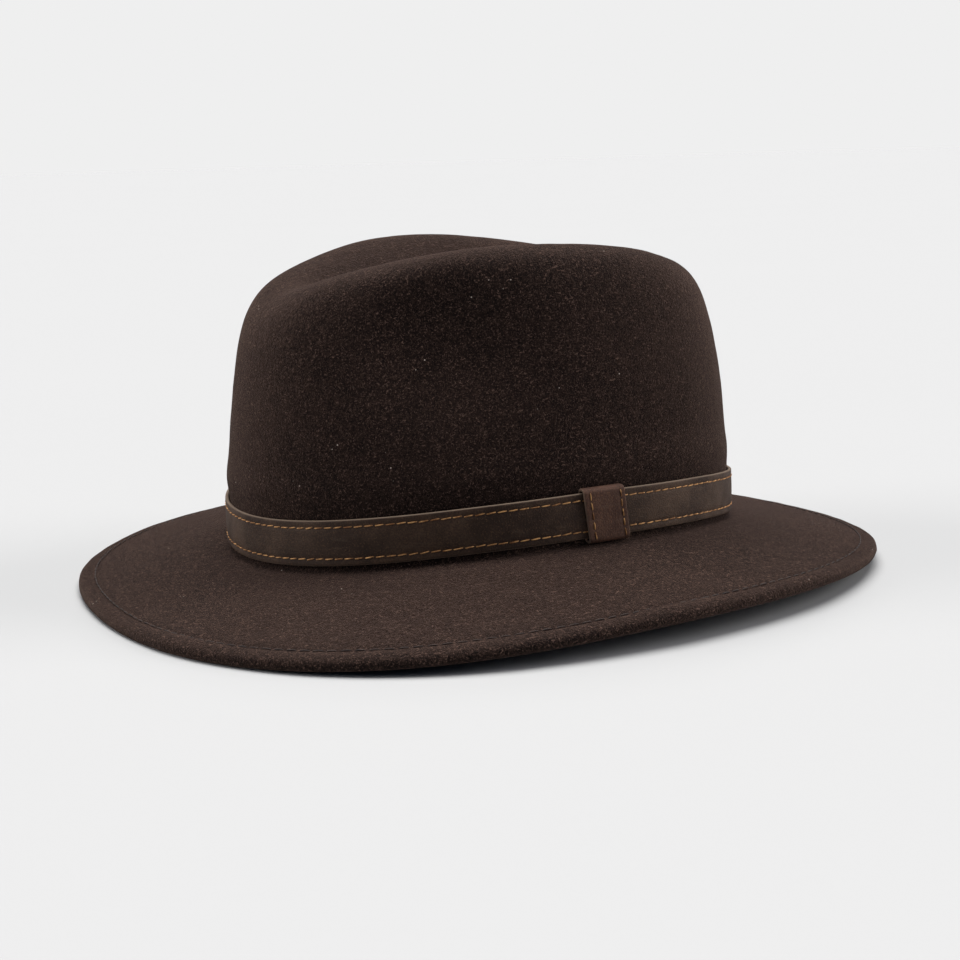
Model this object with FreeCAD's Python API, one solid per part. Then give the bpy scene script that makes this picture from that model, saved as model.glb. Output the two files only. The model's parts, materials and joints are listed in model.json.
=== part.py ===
import FreeCAD, Part
import math
import os

# Wool-felt fedora with a leather band.  Millimetres, +Z up.
# Origin: on the table, under the middle of the brim.  Front of the hat: -Y.  Wearer's left: +X.

# Angles t run from the wearer's left towards the back.

# ---- Felt body ------------------------------------------------------------------------------
BASE_HALF_LENGTH = 106.0    # outside of the felt behind the band, front to back
BASE_HALF_WIDTH = 88.4      # outside of the felt behind the band, side to side
BASE_SQUARENESS = 2.14      # 2 is an ellipse, more is squarer
BRIM_WIDTH = 61.3
BRIM_SQUARENESS = 2.25
BRIM_EGG = -0.09            # how much narrower the brim's back is than its front
BRIM_SHIFT = 0.9            # the brim's outline stands this far back from the crown's middle
BRIM_SINK = 2.7             # the brim starts this far below the band
BRIM_FALL_POWER = 1.15      # 1 is a straight brim, more droops towards the edge
FELT = 2.4
UNDERWELT = 1.9             # the edge folded under adds this much
UNDERWELT_WIDTH = 8.6
BREAK_HEIGHT = 23.23        # bottom of the band, where the crown meets the brim
BREAK_BACK_RISE = 0.45      # sin t
BREAK_SIDE_RISE = 4.93      # cos 2t
BREAK_FRONT_RISE = 0.4      # sin 3t
EDGE_HEIGHT = 7.15          # top of the brim's edge
EDGE_BACK_RISE = 0.52       # sin t
EDGE_LEFT_RISE = 0.6        # cos t
EDGE_SIDE_RISE = 3.1        # cos 2t
EDGE_TWIST = 1.15           # sin 2t
EDGE_FRONT_RISE = 0.5       # sin 3t
EDGE_CORNER_DROP = 0.57     # cos 4t
CROWN_HEIGHT = 114.5        # highest poles of the ridge above the break
FRONT_FALL = 12.2           # how much lower the ridge is at the front
BACK_FALL = 11.8
LIP_DIP = 3.5               # notch where the crease opens at the front
LIP_SPREAD = 0.35
CREASE_FLOOR = 92.0         # bottom of the centre crease above the break
CREASE_HALF_WIDTH = 60.0
CREASE_FRONT_INSET = 30.9
CREASE_BACK_INSET = 37.3
CREASE_EGG = 0.17           # teardrop: wider at the back
CREASE_EGG_RISE = 0.125     # the teardrop shape is full above this rise
CROWN_EGG = 0.085
PINCH_DEPTH = 17.0
PINCH_Y = -47.0
PINCH_LENGTH = 31.0
PINCH_HEIGHT = 83.0
PINCH_RISE = 20.0
PINCH_FADE = 40.0           # nearer the middle than this the pinch fades out

# Stations of the crease, from its middle out to the ridge: across, along, rise.
CREASE_STATIONS = [
    (0.10, 0.55, 0.00),
    (0.22, 0.62, 0.00),
    (0.40, 0.72, 0.12),
    (0.62, 0.83, 0.52),
    (0.82, 0.93, 0.92),
    (1.00, 1.03, 1.06),
]
# Stations of the crown's wall, from the ridge down: rise, then insets at front, back and sides.
CROWN_STATIONS = [
    (0.97, 15.9, 17.0, 16.0),
    (0.84, 7.0, 9.4, 9.6),
    (0.64, 4.0, 4.8, 5.6),
    (0.42, 0.9, 0.9, 2.7),
    (0.22, 0.0, 0.0, 1.1),
]
# Heights of the crown's foot above the break, down to the corner where the brim starts.
FOOT_LIFTS = [6.0, 1.6, 0.5 - BRIM_SINK]
# Stations of the brim's top, from the crown out to the edge, as parts of the brim's width.
BRIM_STATIONS = [0.03, 0.08, 0.20, 0.40, 0.60, 0.80, 0.93, 0.985]
BRIM_UNDER_STATIONS = [0.60, 0.40, 0.20]
# The rounded edge: part of the brim's width, and how far down the thickness.
EDGE_STATIONS = [(1.0, 0.1), (1.008, 0.35), (1.008, 0.65), (1.0, 0.9), (0.985, 1.0), (0.93, 1.0)]
WELT_STEP = 0.01            # part of the brim's width over which the underwelt's edge drops
BRIM_THREAD_INSET = 6.2     # from the brim's edge to its thread row

# ---- Band and keeper ------------------------------------------------------------------------
BAND_HEIGHT = 17.6
BAND_LEATHER = 1.5
BAND_GAP = 0.4              # lets the band slide up the crown
BAND_CURVE_OUT = 2.0        # room behind the band for the keeper's back leg
BAND_CURVE_SPREAD = 0.42    # radians
THREAD = 0.6
THREAD_PROUD = 0.15
BAND_THREAD_INSET = 2.8     # from the band's edges to its thread rows
KEEPER_ANGLE = 4.3          # degrees from the wearer's left towards the back
KEEPER_WIDTH = 18.0
KEEPER_LEATHER = 1.2
KEEPER_SIDE_GAP = 0.45
KEEPER_END_GAP = 0.65
KEEPER_THREAD_INSET = 2.6
KEEPER_REACH = 0.18         # the keeper's arc is fitted to this much band each way, in radians

# ---- Inside of the hat: heights are above the break, insets are from the felt's outside -------
SWEATBAND_LOW = -1.0
SWEATBAND_HEIGHT = 34.0
SWEATBAND_LEATHER = 1.1
SWEATBAND_INSET = 3.7
SWEATBAND_LEAN = 2.6        # how far its top edge leans in with the crown
SWEATBAND_THREAD_HEIGHT = 1.4
REED = 1.3
REED_GAP = 0.1
TAPE = 0.3
TAPE_INSET = 3.0
TAPE_LOW = -2.5
TAPE_HEIGHT = 7.0
LINING = 0.3
LINING_INSET = 2.9
LINING_FOOT = 6.0
LINING_KNEE = 34.0          # above this the lining leaves the crown's wall
LINING_KNEE_INSET = 5.6
LINING_TOP = 84.0
TIP_HALF_LENGTH = 86.0
TIP_HALF_WIDTH = 53.0
TIP_GAP = 0.1
PIPING = 1.6
SEAM_ROWS = 6               # cross stitches up the sweatband's back seam
SEAM_LOW = 12.0
SEAM_PITCH = 3.0
SEAM_HALF_WIDTH = 1.6
SEAM_THREAD = 0.45
SEAM_STITCH_HEIGHT = 1.0
LABEL_WIDTH = 16.0
LABEL_HEIGHT = 12.0
LABEL_LOW = 14.0
LABEL_ANGLE = 118.0
LABEL_CLOTH = 0.4
BOW_HALF_WIDTH = 11.0
BOW_LOW = 3.8
BOW_HIGH = 10.2
BOW_THICKNESS = 1.6
KNOT_HALF_WIDTH = 2.0
KNOT_LOW = 4.5
KNOT_HIGH = 9.5
KNOT_THICKNESS = 2.1
BOW_GAP = 0.2               # between the knot and each loop
PATCH_GAP = 0.1             # between the sweatband's face and the label
BOW_CLEARANCE = 0.3         # between the sweatband's face and the bow
SEAM_CLEARANCE = 0.05       # between the sweatband's face and the back seam's stitches

# ---- How finely the outlines are described --------------------------------------------------
RING_POINTS = 48
RING_SWELL = 3.0 / (2.0 + math.cos(2.0 * math.pi / RING_POINTS))
ANGLES = [2.0 * math.pi * i / RING_POINTS for i in range(RING_POINTS)]
KEEPER_T = math.radians(KEEPER_ANGLE)
BACK_T = math.pi / 2.0
FLAT_TOLERANCE = 0.01


def vector(x, y, z):
    return FreeCAD.Vector(x, y, z)


def oval(t, half_x, half_y, squareness=2.0, egg=0.0, centre_y=0.0):
    """Point of a squarish egg-shaped oval at angle t."""
    c = math.cos(t)
    s = math.sin(t)
    r = (abs(c) ** squareness + abs(s) ** squareness) ** (-1.0 / squareness)
    x = half_x * r * c * (1.0 + egg * r * s)
    y = half_y * r * s + centre_y
    return x, y


def break_height(t):
    """The brim break rises at the sides."""
    sides = BREAK_SIDE_RISE * math.cos(2 * t)
    return BREAK_HEIGHT + BREAK_BACK_RISE * math.sin(t) + sides + BREAK_FRONT_RISE * math.sin(3 * t)


def edge_height(t):
    """The brim's edge rises at the sides; a worn brim is not quite symmetric."""
    tilt = EDGE_LEFT_RISE * math.cos(t) + EDGE_BACK_RISE * math.sin(t)
    saddle = EDGE_SIDE_RISE * math.cos(2 * t) + EDGE_TWIST * math.sin(2 * t)
    waves = EDGE_FRONT_RISE * math.sin(3 * t) + EDGE_CORNER_DROP * math.cos(4 * t)
    return EDGE_HEIGHT + tilt + saddle + waves


def ridge_height(t):
    """Height of the ridge above the break."""
    s = math.sin(t)
    front = max(-s, 0.0) ** 2
    back = max(s, 0.0) ** 2
    lip = math.exp(-((t - 1.5 * math.pi) / LIP_SPREAD) ** 2)
    return CROWN_HEIGHT - FRONT_FALL * front - BACK_FALL * back - LIP_DIP * lip


def pinched(x, y, z):
    """Push a point of the crown in where the sides are pinched."""
    rise = z - BREAK_HEIGHT
    along = math.exp(-((y - PINCH_Y) / PINCH_LENGTH) ** 2)
    up = math.exp(-((rise - PINCH_HEIGHT) / PINCH_RISE) ** 2)
    push = PINCH_DEPTH * along * up * min(abs(x) / PINCH_FADE, 1.0)
    return x - math.copysign(push, x)


def crease_ring(across, along, rise):
    half_length = BASE_HALF_LENGTH - (CREASE_FRONT_INSET + CREASE_BACK_INSET) / 2.0
    centre_y = (CREASE_FRONT_INSET - CREASE_BACK_INSET) / 2.0
    egg = CREASE_EGG * min(rise / CREASE_EGG_RISE, 1.0)
    ring = []
    for t in ANGLES:
        x, y = oval(t, CREASE_HALF_WIDTH * across, half_length * along, 2.0, egg, centre_y)
        z = BREAK_HEIGHT + CREASE_FLOOR * (1.0 - rise) + ridge_height(t) * rise
        if rise > 0.0:
            x = pinched(x, y, z)
        ring.append(vector(x, y, z))
    return ring


def crown_ring(rise, front, back, side):
    half_length = BASE_HALF_LENGTH - (front + back) / 2.0
    centre_y = (front - back) / 2.0
    egg = CROWN_EGG * rise ** 2
    ring = []
    for t in ANGLES:
        x, y = oval(t, (BASE_HALF_WIDTH - side) * RING_SWELL, half_length * RING_SWELL,
                    BASE_SQUARENESS, egg, centre_y)
        z = break_height(t) * (1.0 - rise) + (BREAK_HEIGHT + ridge_height(t)) * rise
        ring.append(vector(pinched(x, y, z), y, z))
    return ring


def wall_ring(lift):
    """Ring of the crown's foot, at a height above the break."""
    ring = []
    for t in ANGLES:
        x, y = oval(t, BASE_HALF_WIDTH * RING_SWELL, BASE_HALF_LENGTH * RING_SWELL,
                    BASE_SQUARENESS)
        ring.append(vector(x, y, break_height(t) + lift))
    return ring


def brim_ring(part, drop):
    """Ring of the brim at a part of its width, dropped below the brim's top."""
    squareness = BASE_SQUARENESS + (BRIM_SQUARENESS - BASE_SQUARENESS) * part
    fall = part ** BRIM_FALL_POWER
    out = BRIM_WIDTH * part
    ring = []
    for t in ANGLES:
        x, y = oval(t, (BASE_HALF_WIDTH + out) * RING_SWELL, (BASE_HALF_LENGTH + out) * RING_SWELL,
                    squareness, BRIM_EGG * part, BRIM_SHIFT * part)
        z = (break_height(t) - BRIM_SINK) * (1.0 - fall) + edge_height(t) * fall
        ring.append(vector(x, y, z - drop))
    return ring


def offset_inwards(rings, distance):
    """Move each ring's points along the surface's inward normal."""
    moved = []
    last = len(rings) - 1
    for row, ring in enumerate(rings):
        above = rings[max(row - 1, 0)]
        below = rings[min(row + 1, last)]
        new_ring = []
        for i, point in enumerate(ring):
            around = ring[(i + 1) % RING_POINTS] - ring[i - 1]
            down = below[i] - above[i]
            inward = around.cross(down)
            inward.normalize()
            new_ring.append(point + inward * distance)
        moved.append(new_ring)
    return moved


def net_surface(rings):
    """Smooth surface through a stack of closed rings of control points."""
    rows = len(rings)
    poles = [[rings[row][i] for row in range(rows)] for i in range(RING_POINTS)]
    around_knots = list(range(RING_POINTS + 1))
    down_knots = list(range(rows - 2))
    down_mults = [4] + [1] * (rows - 4) + [4]
    surface = Part.BSplineSurface()
    surface.buildFromPolesMultsKnots(
        poles, [1] * (RING_POINTS + 1), down_mults, around_knots, down_knots, True, False, 3, 3)
    return surface.toShape()


def closed_solid(faces):
    """One solid from faces that meet edge to edge."""
    skin = Part.makeCompound(faces)
    skin.sewShape()
    solid = Part.makeSolid(skin.Shells[0])
    if solid.Volume < 0:
        solid.reverse()
    return solid


def end_cap(face, height):
    """Flat face over the closed edge of a surface that lies at a height."""
    for edge in face.Edges:
        box = edge.BoundBox
        if box.ZLength < FLAT_TOLERANCE and abs(box.ZMax - height) < FLAT_TOLERANCE:
            return Part.Face(Part.Wire([edge]))
    raise ValueError("no flat edge at %.2f" % height)


def felt_body():
    """Crown and brim: one felt sheet, from the crease round the brim's edge and back up inside."""
    crease = [crease_ring(*station) for station in CREASE_STATIONS]
    crown = [crown_ring(*station) for station in CROWN_STATIONS]
    foot = [wall_ring(lift) for lift in FOOT_LIFTS]
    brim = [brim_ring(part, 0.0) for part in BRIM_STATIONS]
    inside = offset_inwards(crease + crown + foot + brim[:2], FELT)
    floor = BREAK_HEIGHT + CREASE_FLOOR
    for ring in inside[:2]:
        for point in ring:
            point.z = floor - FELT
    thick = FELT + UNDERWELT
    fold = 1.0 - UNDERWELT_WIDTH / BRIM_WIDTH
    edge = [brim_ring(part, thick * down) for part, down in EDGE_STATIONS]
    welt = [brim_ring(fold + WELT_STEP, thick), brim_ring(fold, thick),
            brim_ring(fold - WELT_STEP, FELT), brim_ring(fold - 3.0 * WELT_STEP, FELT)]
    under = [brim_ring(part, FELT) for part in BRIM_UNDER_STATIONS]
    skin = net_surface(crease + crown + foot + brim + edge + welt + under + inside[::-1])
    return closed_solid([skin, end_cap(skin, floor), end_cap(skin, floor - FELT)])


def loop_curve(out, height, base=(BASE_HALF_WIDTH, BASE_HALF_LENGTH), shape=BASE_SQUARENESS):
    """Closed curve round the crown: out and height are functions of the angle."""
    points = []
    for t in ANGLES:
        x, y = oval(t, base[0] + out(t), base[1] + out(t), shape)
        points.append(vector(x, y, height(t)))
    curve = Part.BSplineCurve()
    curve.interpolate(Points=points, PeriodicFlag=True)
    return curve.toShape()


def loop_solid(curves):
    """Ring whose section has a corner at each closed curve."""
    faces = [Part.makeRuledSurface(a, b) for a, b in zip(curves, curves[1:] + curves[:1])]
    return closed_solid(faces)


def lean_in(lift):
    """How far the sweatband has leaned in at a height above the break."""
    return SWEATBAND_LEAN * lift / SWEATBAND_HEIGHT


def level_curve(out, lift):
    """Closed curve at a constant distance from the base oval and height above the break."""
    return loop_curve(lambda t: out, lambda t: break_height(t) + lift)


def base_loop(inner, outer, low, high):
    """Ring that follows the base oval and the break, and leans in with the sweatband."""
    curves = []
    for out, lift in ((outer, low), (outer, high), (inner, high), (inner, low)):
        curves.append(level_curve(out - lean_in(lift), lift))
    return loop_solid(curves)


def band_back(t):
    """How far the band's back stands outside the felt; more where the keeper's leg passes."""
    swing = (t - KEEPER_T + math.pi) % (2.0 * math.pi) - math.pi
    return BAND_GAP + BAND_CURVE_OUT * math.exp(-(swing / BAND_CURVE_SPREAD) ** 4)


def band_ring(inner, outer, low, high):
    """Ring that follows the band, measured from the band's back face and bottom edge."""
    curves = []
    for out, lift in ((outer, low), (outer, high), (inner, high), (inner, low)):
        curves.append(loop_curve(lambda t: band_back(t) + out, lambda t: break_height(t) + lift))
    return loop_solid(curves)


def hatband_strap():
    return band_ring(0.0, BAND_LEATHER, 0.0, BAND_HEIGHT)


def band_thread(height):
    outer = BAND_LEATHER + THREAD_PROUD
    return band_ring(outer - THREAD, outer, height - THREAD / 2.0, height + THREAD / 2.0)


def circle_centre(a, b, c):
    """Centre of the circle through three points in plan."""
    d = 2.0 * (a[0] * (b[1] - c[1]) + b[0] * (c[1] - a[1]) + c[0] * (a[1] - b[1]))
    a2 = a[0] ** 2 + a[1] ** 2
    b2 = b[0] ** 2 + b[1] ** 2
    c2 = c[0] ** 2 + c[1] ** 2
    x = (a2 * (b[1] - c[1]) + b2 * (c[1] - a[1]) + c2 * (a[1] - b[1])) / d
    y = (a2 * (c[0] - b[0]) + b2 * (a[0] - c[0]) + c2 * (b[0] - a[0])) / d
    return x, y


def keeper_frame():
    """Centre, radius, tilt and turn of the arc along which the keeper slides on the band."""
    before = KEEPER_T - KEEPER_REACH
    after = KEEPER_T + KEEPER_REACH
    plan = []
    for t in (before, KEEPER_T, after):
        out = band_back(t)
        plan.append(oval(t, BASE_HALF_WIDTH + out, BASE_HALF_LENGTH + out, BASE_SQUARENESS))
    cx, cy = circle_centre(*plan)
    x, y = plan[1]
    radius = math.hypot(x - cx, y - cy)
    rise = break_height(after) - break_height(before)
    run = plan[2][1] - plan[0][1]
    tilt = math.atan2(rise, run)
    ends = (break_height(after) + break_height(before)) / 2.0
    middle = (break_height(KEEPER_T) + ends) / 2.0 + BAND_HEIGHT / 2.0
    centre = vector(cx, cy, middle - (y - cy) * math.tan(tilt))
    turn = math.degrees(math.atan2(y - cy, x - cx))
    return centre, radius, math.degrees(tilt), turn


def on_keeper_arc(shape):
    """Place a shape made round the local Z axis onto the keeper's arc."""
    centre, radius, tilt, turn = keeper_frame()
    rotation = FreeCAD.Rotation(vector(1, 0, 0), tilt) * FreeCAD.Rotation(vector(0, 0, 1), turn)
    shape.Placement = FreeCAD.Placement(centre, rotation)
    return shape


def arc_block(inner, outer, low, high, start, end):
    """Block of rectangular section turned about the local Z axis, from start to end in degrees."""
    corners = [vector(inner, 0, low), vector(outer, 0, low), vector(outer, 0, high),
               vector(inner, 0, high), vector(inner, 0, low)]
    face = Part.Face(Part.makePolygon(corners))
    face.rotate(vector(0, 0, 0), vector(0, 0, 1), start)
    return face.revolve(vector(0, 0, 0), vector(0, 0, 1), end - start)


def keeper_sizes():
    """Radii and half heights of the keeper's inside and outside about its own axis."""
    radius = keeper_frame()[1]
    inner_hole = radius - KEEPER_SIDE_GAP
    outer_hole = radius + BAND_LEATHER + KEEPER_SIDE_GAP
    half_hole = BAND_HEIGHT / 2.0 + KEEPER_END_GAP
    return inner_hole, outer_hole, half_hole


def keeper_loop():
    inner_hole, outer_hole, half_hole = keeper_sizes()
    half = math.degrees(KEEPER_WIDTH / 2.0 / outer_hole)
    wall = KEEPER_LEATHER
    block = arc_block(inner_hole - wall, outer_hole + wall, -half_hole - wall, half_hole + wall,
                      -half, half)
    hole = arc_block(inner_hole, outer_hole, -half_hole, half_hole, -half - 1.0, half + 1.0)
    return on_keeper_arc(block.cut(hole).Solids[0])


def keeper_stitching():
    """Two upright rows of thread on the keeper's face."""
    inner_hole, outer_hole, half_hole = keeper_sizes()
    face = outer_hole + KEEPER_LEATHER + THREAD_PROUD
    row_at = math.degrees((KEEPER_WIDTH / 2.0 - KEEPER_THREAD_INSET) / face)
    half_thread = math.degrees(THREAD / 2.0 / face)
    rows = []
    for middle in (-row_at, row_at):
        rows.append(arc_block(face - THREAD, face, -half_hole, half_hole,
                              middle - half_thread, middle + half_thread))
    return on_keeper_arc(Part.makeCompound(rows))


def brim_edge_stitching():
    """Rows of thread through the brim and its underwelt, on top and below."""
    middle = 1.0 - BRIM_THREAD_INSET / BRIM_WIDTH
    half = THREAD / 2.0 / BRIM_WIDTH
    rows = []
    for drop in (-THREAD_PROUD, FELT + UNDERWELT + THREAD_PROUD - THREAD):
        corners = [(middle + half, drop + THREAD), (middle + half, drop),
                   (middle - half, drop), (middle - half, drop + THREAD)]
        curves = []
        for part, down in corners:
            curve = Part.BSplineCurve()
            curve.interpolate(Points=brim_ring(part, down), PeriodicFlag=True)
            curves.append(curve.toShape())
        rows.append(loop_solid(curves))
    return Part.makeCompound(rows)


def sweatband():
    back = -SWEATBAND_INSET
    return base_loop(back - SWEATBAND_LEATHER, back, SWEATBAND_LOW, SWEATBAND_LOW + SWEATBAND_HEIGHT)


def sweatband_reed():
    """Plastic reed under the sweatband's bottom edge, inside its roll."""
    back = -SWEATBAND_INSET + REED_GAP
    top = SWEATBAND_LOW - REED_GAP
    return base_loop(back - REED, back, top - REED, top)


def sweatband_tape():
    return base_loop(-TAPE_INSET - TAPE, -TAPE_INSET, TAPE_LOW, TAPE_LOW + TAPE_HEIGHT)


def sweatband_stitching():
    face = -SWEATBAND_INSET - SWEATBAND_LEATHER - THREAD_PROUD
    low = SWEATBAND_THREAD_HEIGHT
    return base_loop(face, face + THREAD, low, low + THREAD)


def inside_patch(middle, half_width, low, high, gap, thickness):
    """Small curved plate that stands off the sweatband's inner face by a gap."""
    outer = -SWEATBAND_INSET - SWEATBAND_LEATHER - gap
    inner = outer - thickness
    half_angle = half_width / BASE_HALF_WIDTH
    sections = []
    for step in (-1.0, -0.5, 0.0, 0.5, 1.0):
        t = middle + half_angle * step
        corners = []
        for out, lift in ((outer, low), (outer, high), (inner, high), (inner, low)):
            inset = out - lean_in(lift)
            x, y = oval(t, BASE_HALF_WIDTH + inset, BASE_HALF_LENGTH + inset, BASE_SQUARENESS)
            corners.append(vector(x, y, break_height(t) + lift))
        sections.append(Part.makePolygon(corners + corners[:1]))
    return Part.makeLoft(sections, True, True)


def sweatband_back_seam():
    """Upright row of cross stitches that joins the sweatband's ends at the back."""
    stitches = []
    for row in range(SEAM_ROWS):
        low = SEAM_LOW + SEAM_PITCH * row
        stitches.append(inside_patch(BACK_T, SEAM_HALF_WIDTH, low, low + SEAM_STITCH_HEIGHT,
                                     SEAM_CLEARANCE, SEAM_THREAD))
    return Part.makeCompound(stitches)


def sweatband_bow():
    """Ribbon bow over the foot of the back seam: a knot and two loops."""
    solids = [inside_patch(BACK_T, KNOT_HALF_WIDTH, KNOT_LOW, KNOT_HIGH, BOW_CLEARANCE,
                           KNOT_THICKNESS)]
    start = KNOT_HALF_WIDTH + BOW_GAP
    half_loop = (BOW_HALF_WIDTH - start) / 2.0
    shift = (start + half_loop) / BASE_HALF_WIDTH
    for side in (-1.0, 1.0):
        solids.append(inside_patch(BACK_T + side * shift, half_loop, BOW_LOW, BOW_HIGH,
                                   BOW_CLEARANCE, BOW_THICKNESS))
    return Part.makeCompound(solids)


def size_label():
    return inside_patch(math.radians(LABEL_ANGLE), LABEL_WIDTH / 2.0, LABEL_LOW,
                        LABEL_LOW + LABEL_HEIGHT, PATCH_GAP, LABEL_CLOTH)


def tip_curve(grow, height):
    base = (TIP_HALF_WIDTH + grow, TIP_HALF_LENGTH + grow)
    return loop_curve(lambda t: 0.0, lambda t: height, base, 2.0)


def lining_side():
    top = BREAK_HEIGHT + LINING_TOP
    curves = [
        level_curve(-LINING_INSET, LINING_FOOT),
        level_curve(-LINING_KNEE_INSET, LINING_KNEE),
        tip_curve(0.0, top),
        tip_curve(-LINING, top),
        level_curve(-LINING_KNEE_INSET - LINING, LINING_KNEE),
        level_curve(-LINING_INSET - LINING, LINING_FOOT),
    ]
    return loop_solid(curves)


def lining_tip():
    """Flat oval of satin that closes the lining under the crown."""
    edge = tip_curve(-LINING, BREAK_HEIGHT + LINING_TOP + TIP_GAP)
    return Part.Face(Part.Wire([edge])).extrude(vector(0, 0, LINING))


def lining_piping():
    """Covered cord round the seam between the lining's side and its tip."""
    low = BREAK_HEIGHT + LINING_TOP + TIP_GAP
    curves = [tip_curve(PIPING, low), tip_curve(PIPING, low + PIPING),
              tip_curve(TIP_GAP, low + PIPING), tip_curve(TIP_GAP, low)]
    return loop_solid(curves)


PARTS = {
    "felt_body": felt_body,
    "brim_edge_stitching": brim_edge_stitching,
    "hatband_strap": hatband_strap,
    "hatband_top_stitching": lambda: band_thread(BAND_HEIGHT - BAND_THREAD_INSET),
    "hatband_bottom_stitching": lambda: band_thread(BAND_THREAD_INSET),
    "keeper_loop": keeper_loop,
    "keeper_stitching": keeper_stitching,
    "sweatband": sweatband,
    "sweatband_reed": sweatband_reed,
    "sweatband_tape": sweatband_tape,
    "sweatband_stitching": sweatband_stitching,
    "sweatband_back_seam": sweatband_back_seam,
    "sweatband_bow": sweatband_bow,
    "size_label": size_label,
    "lining_side": lining_side,
    "lining_tip": lining_tip,
    "lining_piping": lining_piping,
}

os.makedirs("parts", exist_ok=True)
for name, make in PARTS.items():
    shape = make()
    shape.exportStep("parts/%s.step" % name)
    box = shape.BoundBox
    print("%-26s valid %s solids %d volume %9.0f  z %.2f to %.2f"
          % (name, shape.isValid(), len(shape.Solids), shape.Volume, box.ZMin, box.ZMax))

centre, radius, tilt, turn = keeper_frame()
print("keeper axis through", [round(c, 3) for c in centre], "radius", round(radius, 2),
      "tilt", round(tilt, 4), "turn", round(turn, 3))
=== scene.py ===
import json
import math

import bpy
import numpy as np
from mathutils import Matrix, Vector


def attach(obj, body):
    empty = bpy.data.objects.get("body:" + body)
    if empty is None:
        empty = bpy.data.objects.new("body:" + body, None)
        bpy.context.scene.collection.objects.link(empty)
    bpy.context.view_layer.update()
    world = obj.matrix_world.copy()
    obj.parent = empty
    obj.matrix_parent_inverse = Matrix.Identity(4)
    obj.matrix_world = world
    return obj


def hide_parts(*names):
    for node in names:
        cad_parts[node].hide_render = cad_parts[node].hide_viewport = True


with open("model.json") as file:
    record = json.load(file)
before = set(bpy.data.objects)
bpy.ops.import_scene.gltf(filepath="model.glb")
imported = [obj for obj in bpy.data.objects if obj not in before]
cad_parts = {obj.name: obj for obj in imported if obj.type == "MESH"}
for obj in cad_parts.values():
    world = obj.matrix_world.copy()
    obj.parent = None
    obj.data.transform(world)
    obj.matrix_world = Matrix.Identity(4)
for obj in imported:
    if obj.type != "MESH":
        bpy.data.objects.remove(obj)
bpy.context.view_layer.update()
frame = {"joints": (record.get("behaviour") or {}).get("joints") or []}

# A wool-felt fedora.  Lengths below are millimetres, as in the CAD source, and meshes are made in
# metres.  Front of the hat: -Y.  Wearer's left: +X.  Angles t run from the wearer's left towards
# the back.
MM = 0.001

# ---- Felt body ----
BASE_HALF_LENGTH = 106.0  # outside of the felt behind the band, front to back
BASE_HALF_WIDTH = 88.4  # outside of the felt behind the band, side to side
BASE_SQUARENESS = 2.14  # 2 is an ellipse, more is squarer
BRIM_WIDTH = 61.3
BRIM_SQUARENESS = 2.25
BRIM_EGG = -0.09  # how much narrower the brim's back is than its front
BRIM_SHIFT = 0.9  # the brim's outline stands this far back from the crown's middle
BRIM_SINK = 2.7  # the brim starts this far below the band
BRIM_FALL_POWER = 1.15  # 1 is a straight brim, more droops towards the edge
FELT = 2.4
UNDERWELT = 1.9  # the edge folded under adds this much
UNDERWELT_WIDTH = 8.6
BREAK_HEIGHT = 23.23  # bottom of the band, where the crown meets the brim
BREAK_BACK_RISE = 0.45  # sin t
BREAK_SIDE_RISE = 4.93  # cos 2t
BREAK_FRONT_RISE = 0.4  # sin 3t
EDGE_HEIGHT = 7.15  # top of the brim's edge
EDGE_BACK_RISE = 0.52  # sin t
EDGE_LEFT_RISE = 0.6  # cos t
EDGE_SIDE_RISE = 3.1  # cos 2t
EDGE_TWIST = 1.15  # sin 2t
EDGE_FRONT_RISE = 0.5  # sin 3t
EDGE_CORNER_DROP = 0.57  # cos 4t
CROWN_HEIGHT = 114.5  # highest poles of the ridge above the break
FRONT_FALL = 12.2  # how much lower the ridge is at the front
BACK_FALL = 11.8
LIP_DIP = 3.5  # notch where the crease opens at the front
LIP_SPREAD = 0.35
CREASE_FLOOR = 92.0  # bottom of the centre crease above the break
CREASE_HALF_WIDTH = 60.0
CREASE_FRONT_INSET = 30.9
CREASE_BACK_INSET = 37.3
CREASE_EGG = 0.17  # teardrop: wider at the back
CREASE_EGG_RISE = 0.125  # the teardrop shape is full above this rise
CROWN_EGG = 0.085
PINCH_DEPTH = 17.0
PINCH_Y = -47.0
PINCH_LENGTH = 31.0
PINCH_HEIGHT = 83.0
PINCH_RISE = 20.0
PINCH_FADE = 40.0  # nearer the middle than this the pinch fades out

# Stations of the crease, from its middle out to the ridge: across, along, rise.
CREASE_STATIONS = [
    (0.10, 0.55, 0.00),
    (0.22, 0.62, 0.00),
    (0.40, 0.72, 0.12),
    (0.62, 0.83, 0.52),
    (0.82, 0.93, 0.92),
    (1.00, 1.03, 1.06),
]
# Stations of the crown's wall, from the ridge down: rise, then insets at front, back and sides.
CROWN_STATIONS = [
    (0.97, 15.9, 17.0, 16.0),
    (0.84, 7.0, 9.4, 9.6),
    (0.64, 4.0, 4.8, 5.6),
    (0.42, 0.9, 0.9, 2.7),
    (0.22, 0.0, 0.0, 1.1),
]
# Heights of the crown's foot above the break, down to the corner where the brim starts.
FOOT_LIFTS = [6.0, 1.6, 0.5 - BRIM_SINK]
# Stations of the brim's top, from the crown out to the edge, as parts of the brim's width.
BRIM_STATIONS = [0.03, 0.08, 0.20, 0.40, 0.60, 0.80, 0.93, 0.985]
BRIM_UNDER_STATIONS = [0.60, 0.40, 0.20]
# The rounded edge: part of the brim's width, and how far down the thickness.
EDGE_STATIONS = [(1.0, 0.1), (1.008, 0.35), (1.008, 0.65), (1.0, 0.9), (0.985, 1.0), (0.93, 1.0)]
WELT_STEP = 0.01  # part of the brim's width over which the underwelt's edge drops
BRIM_THREAD_INSET = 6.2  # from the brim's edge to its thread row

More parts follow.
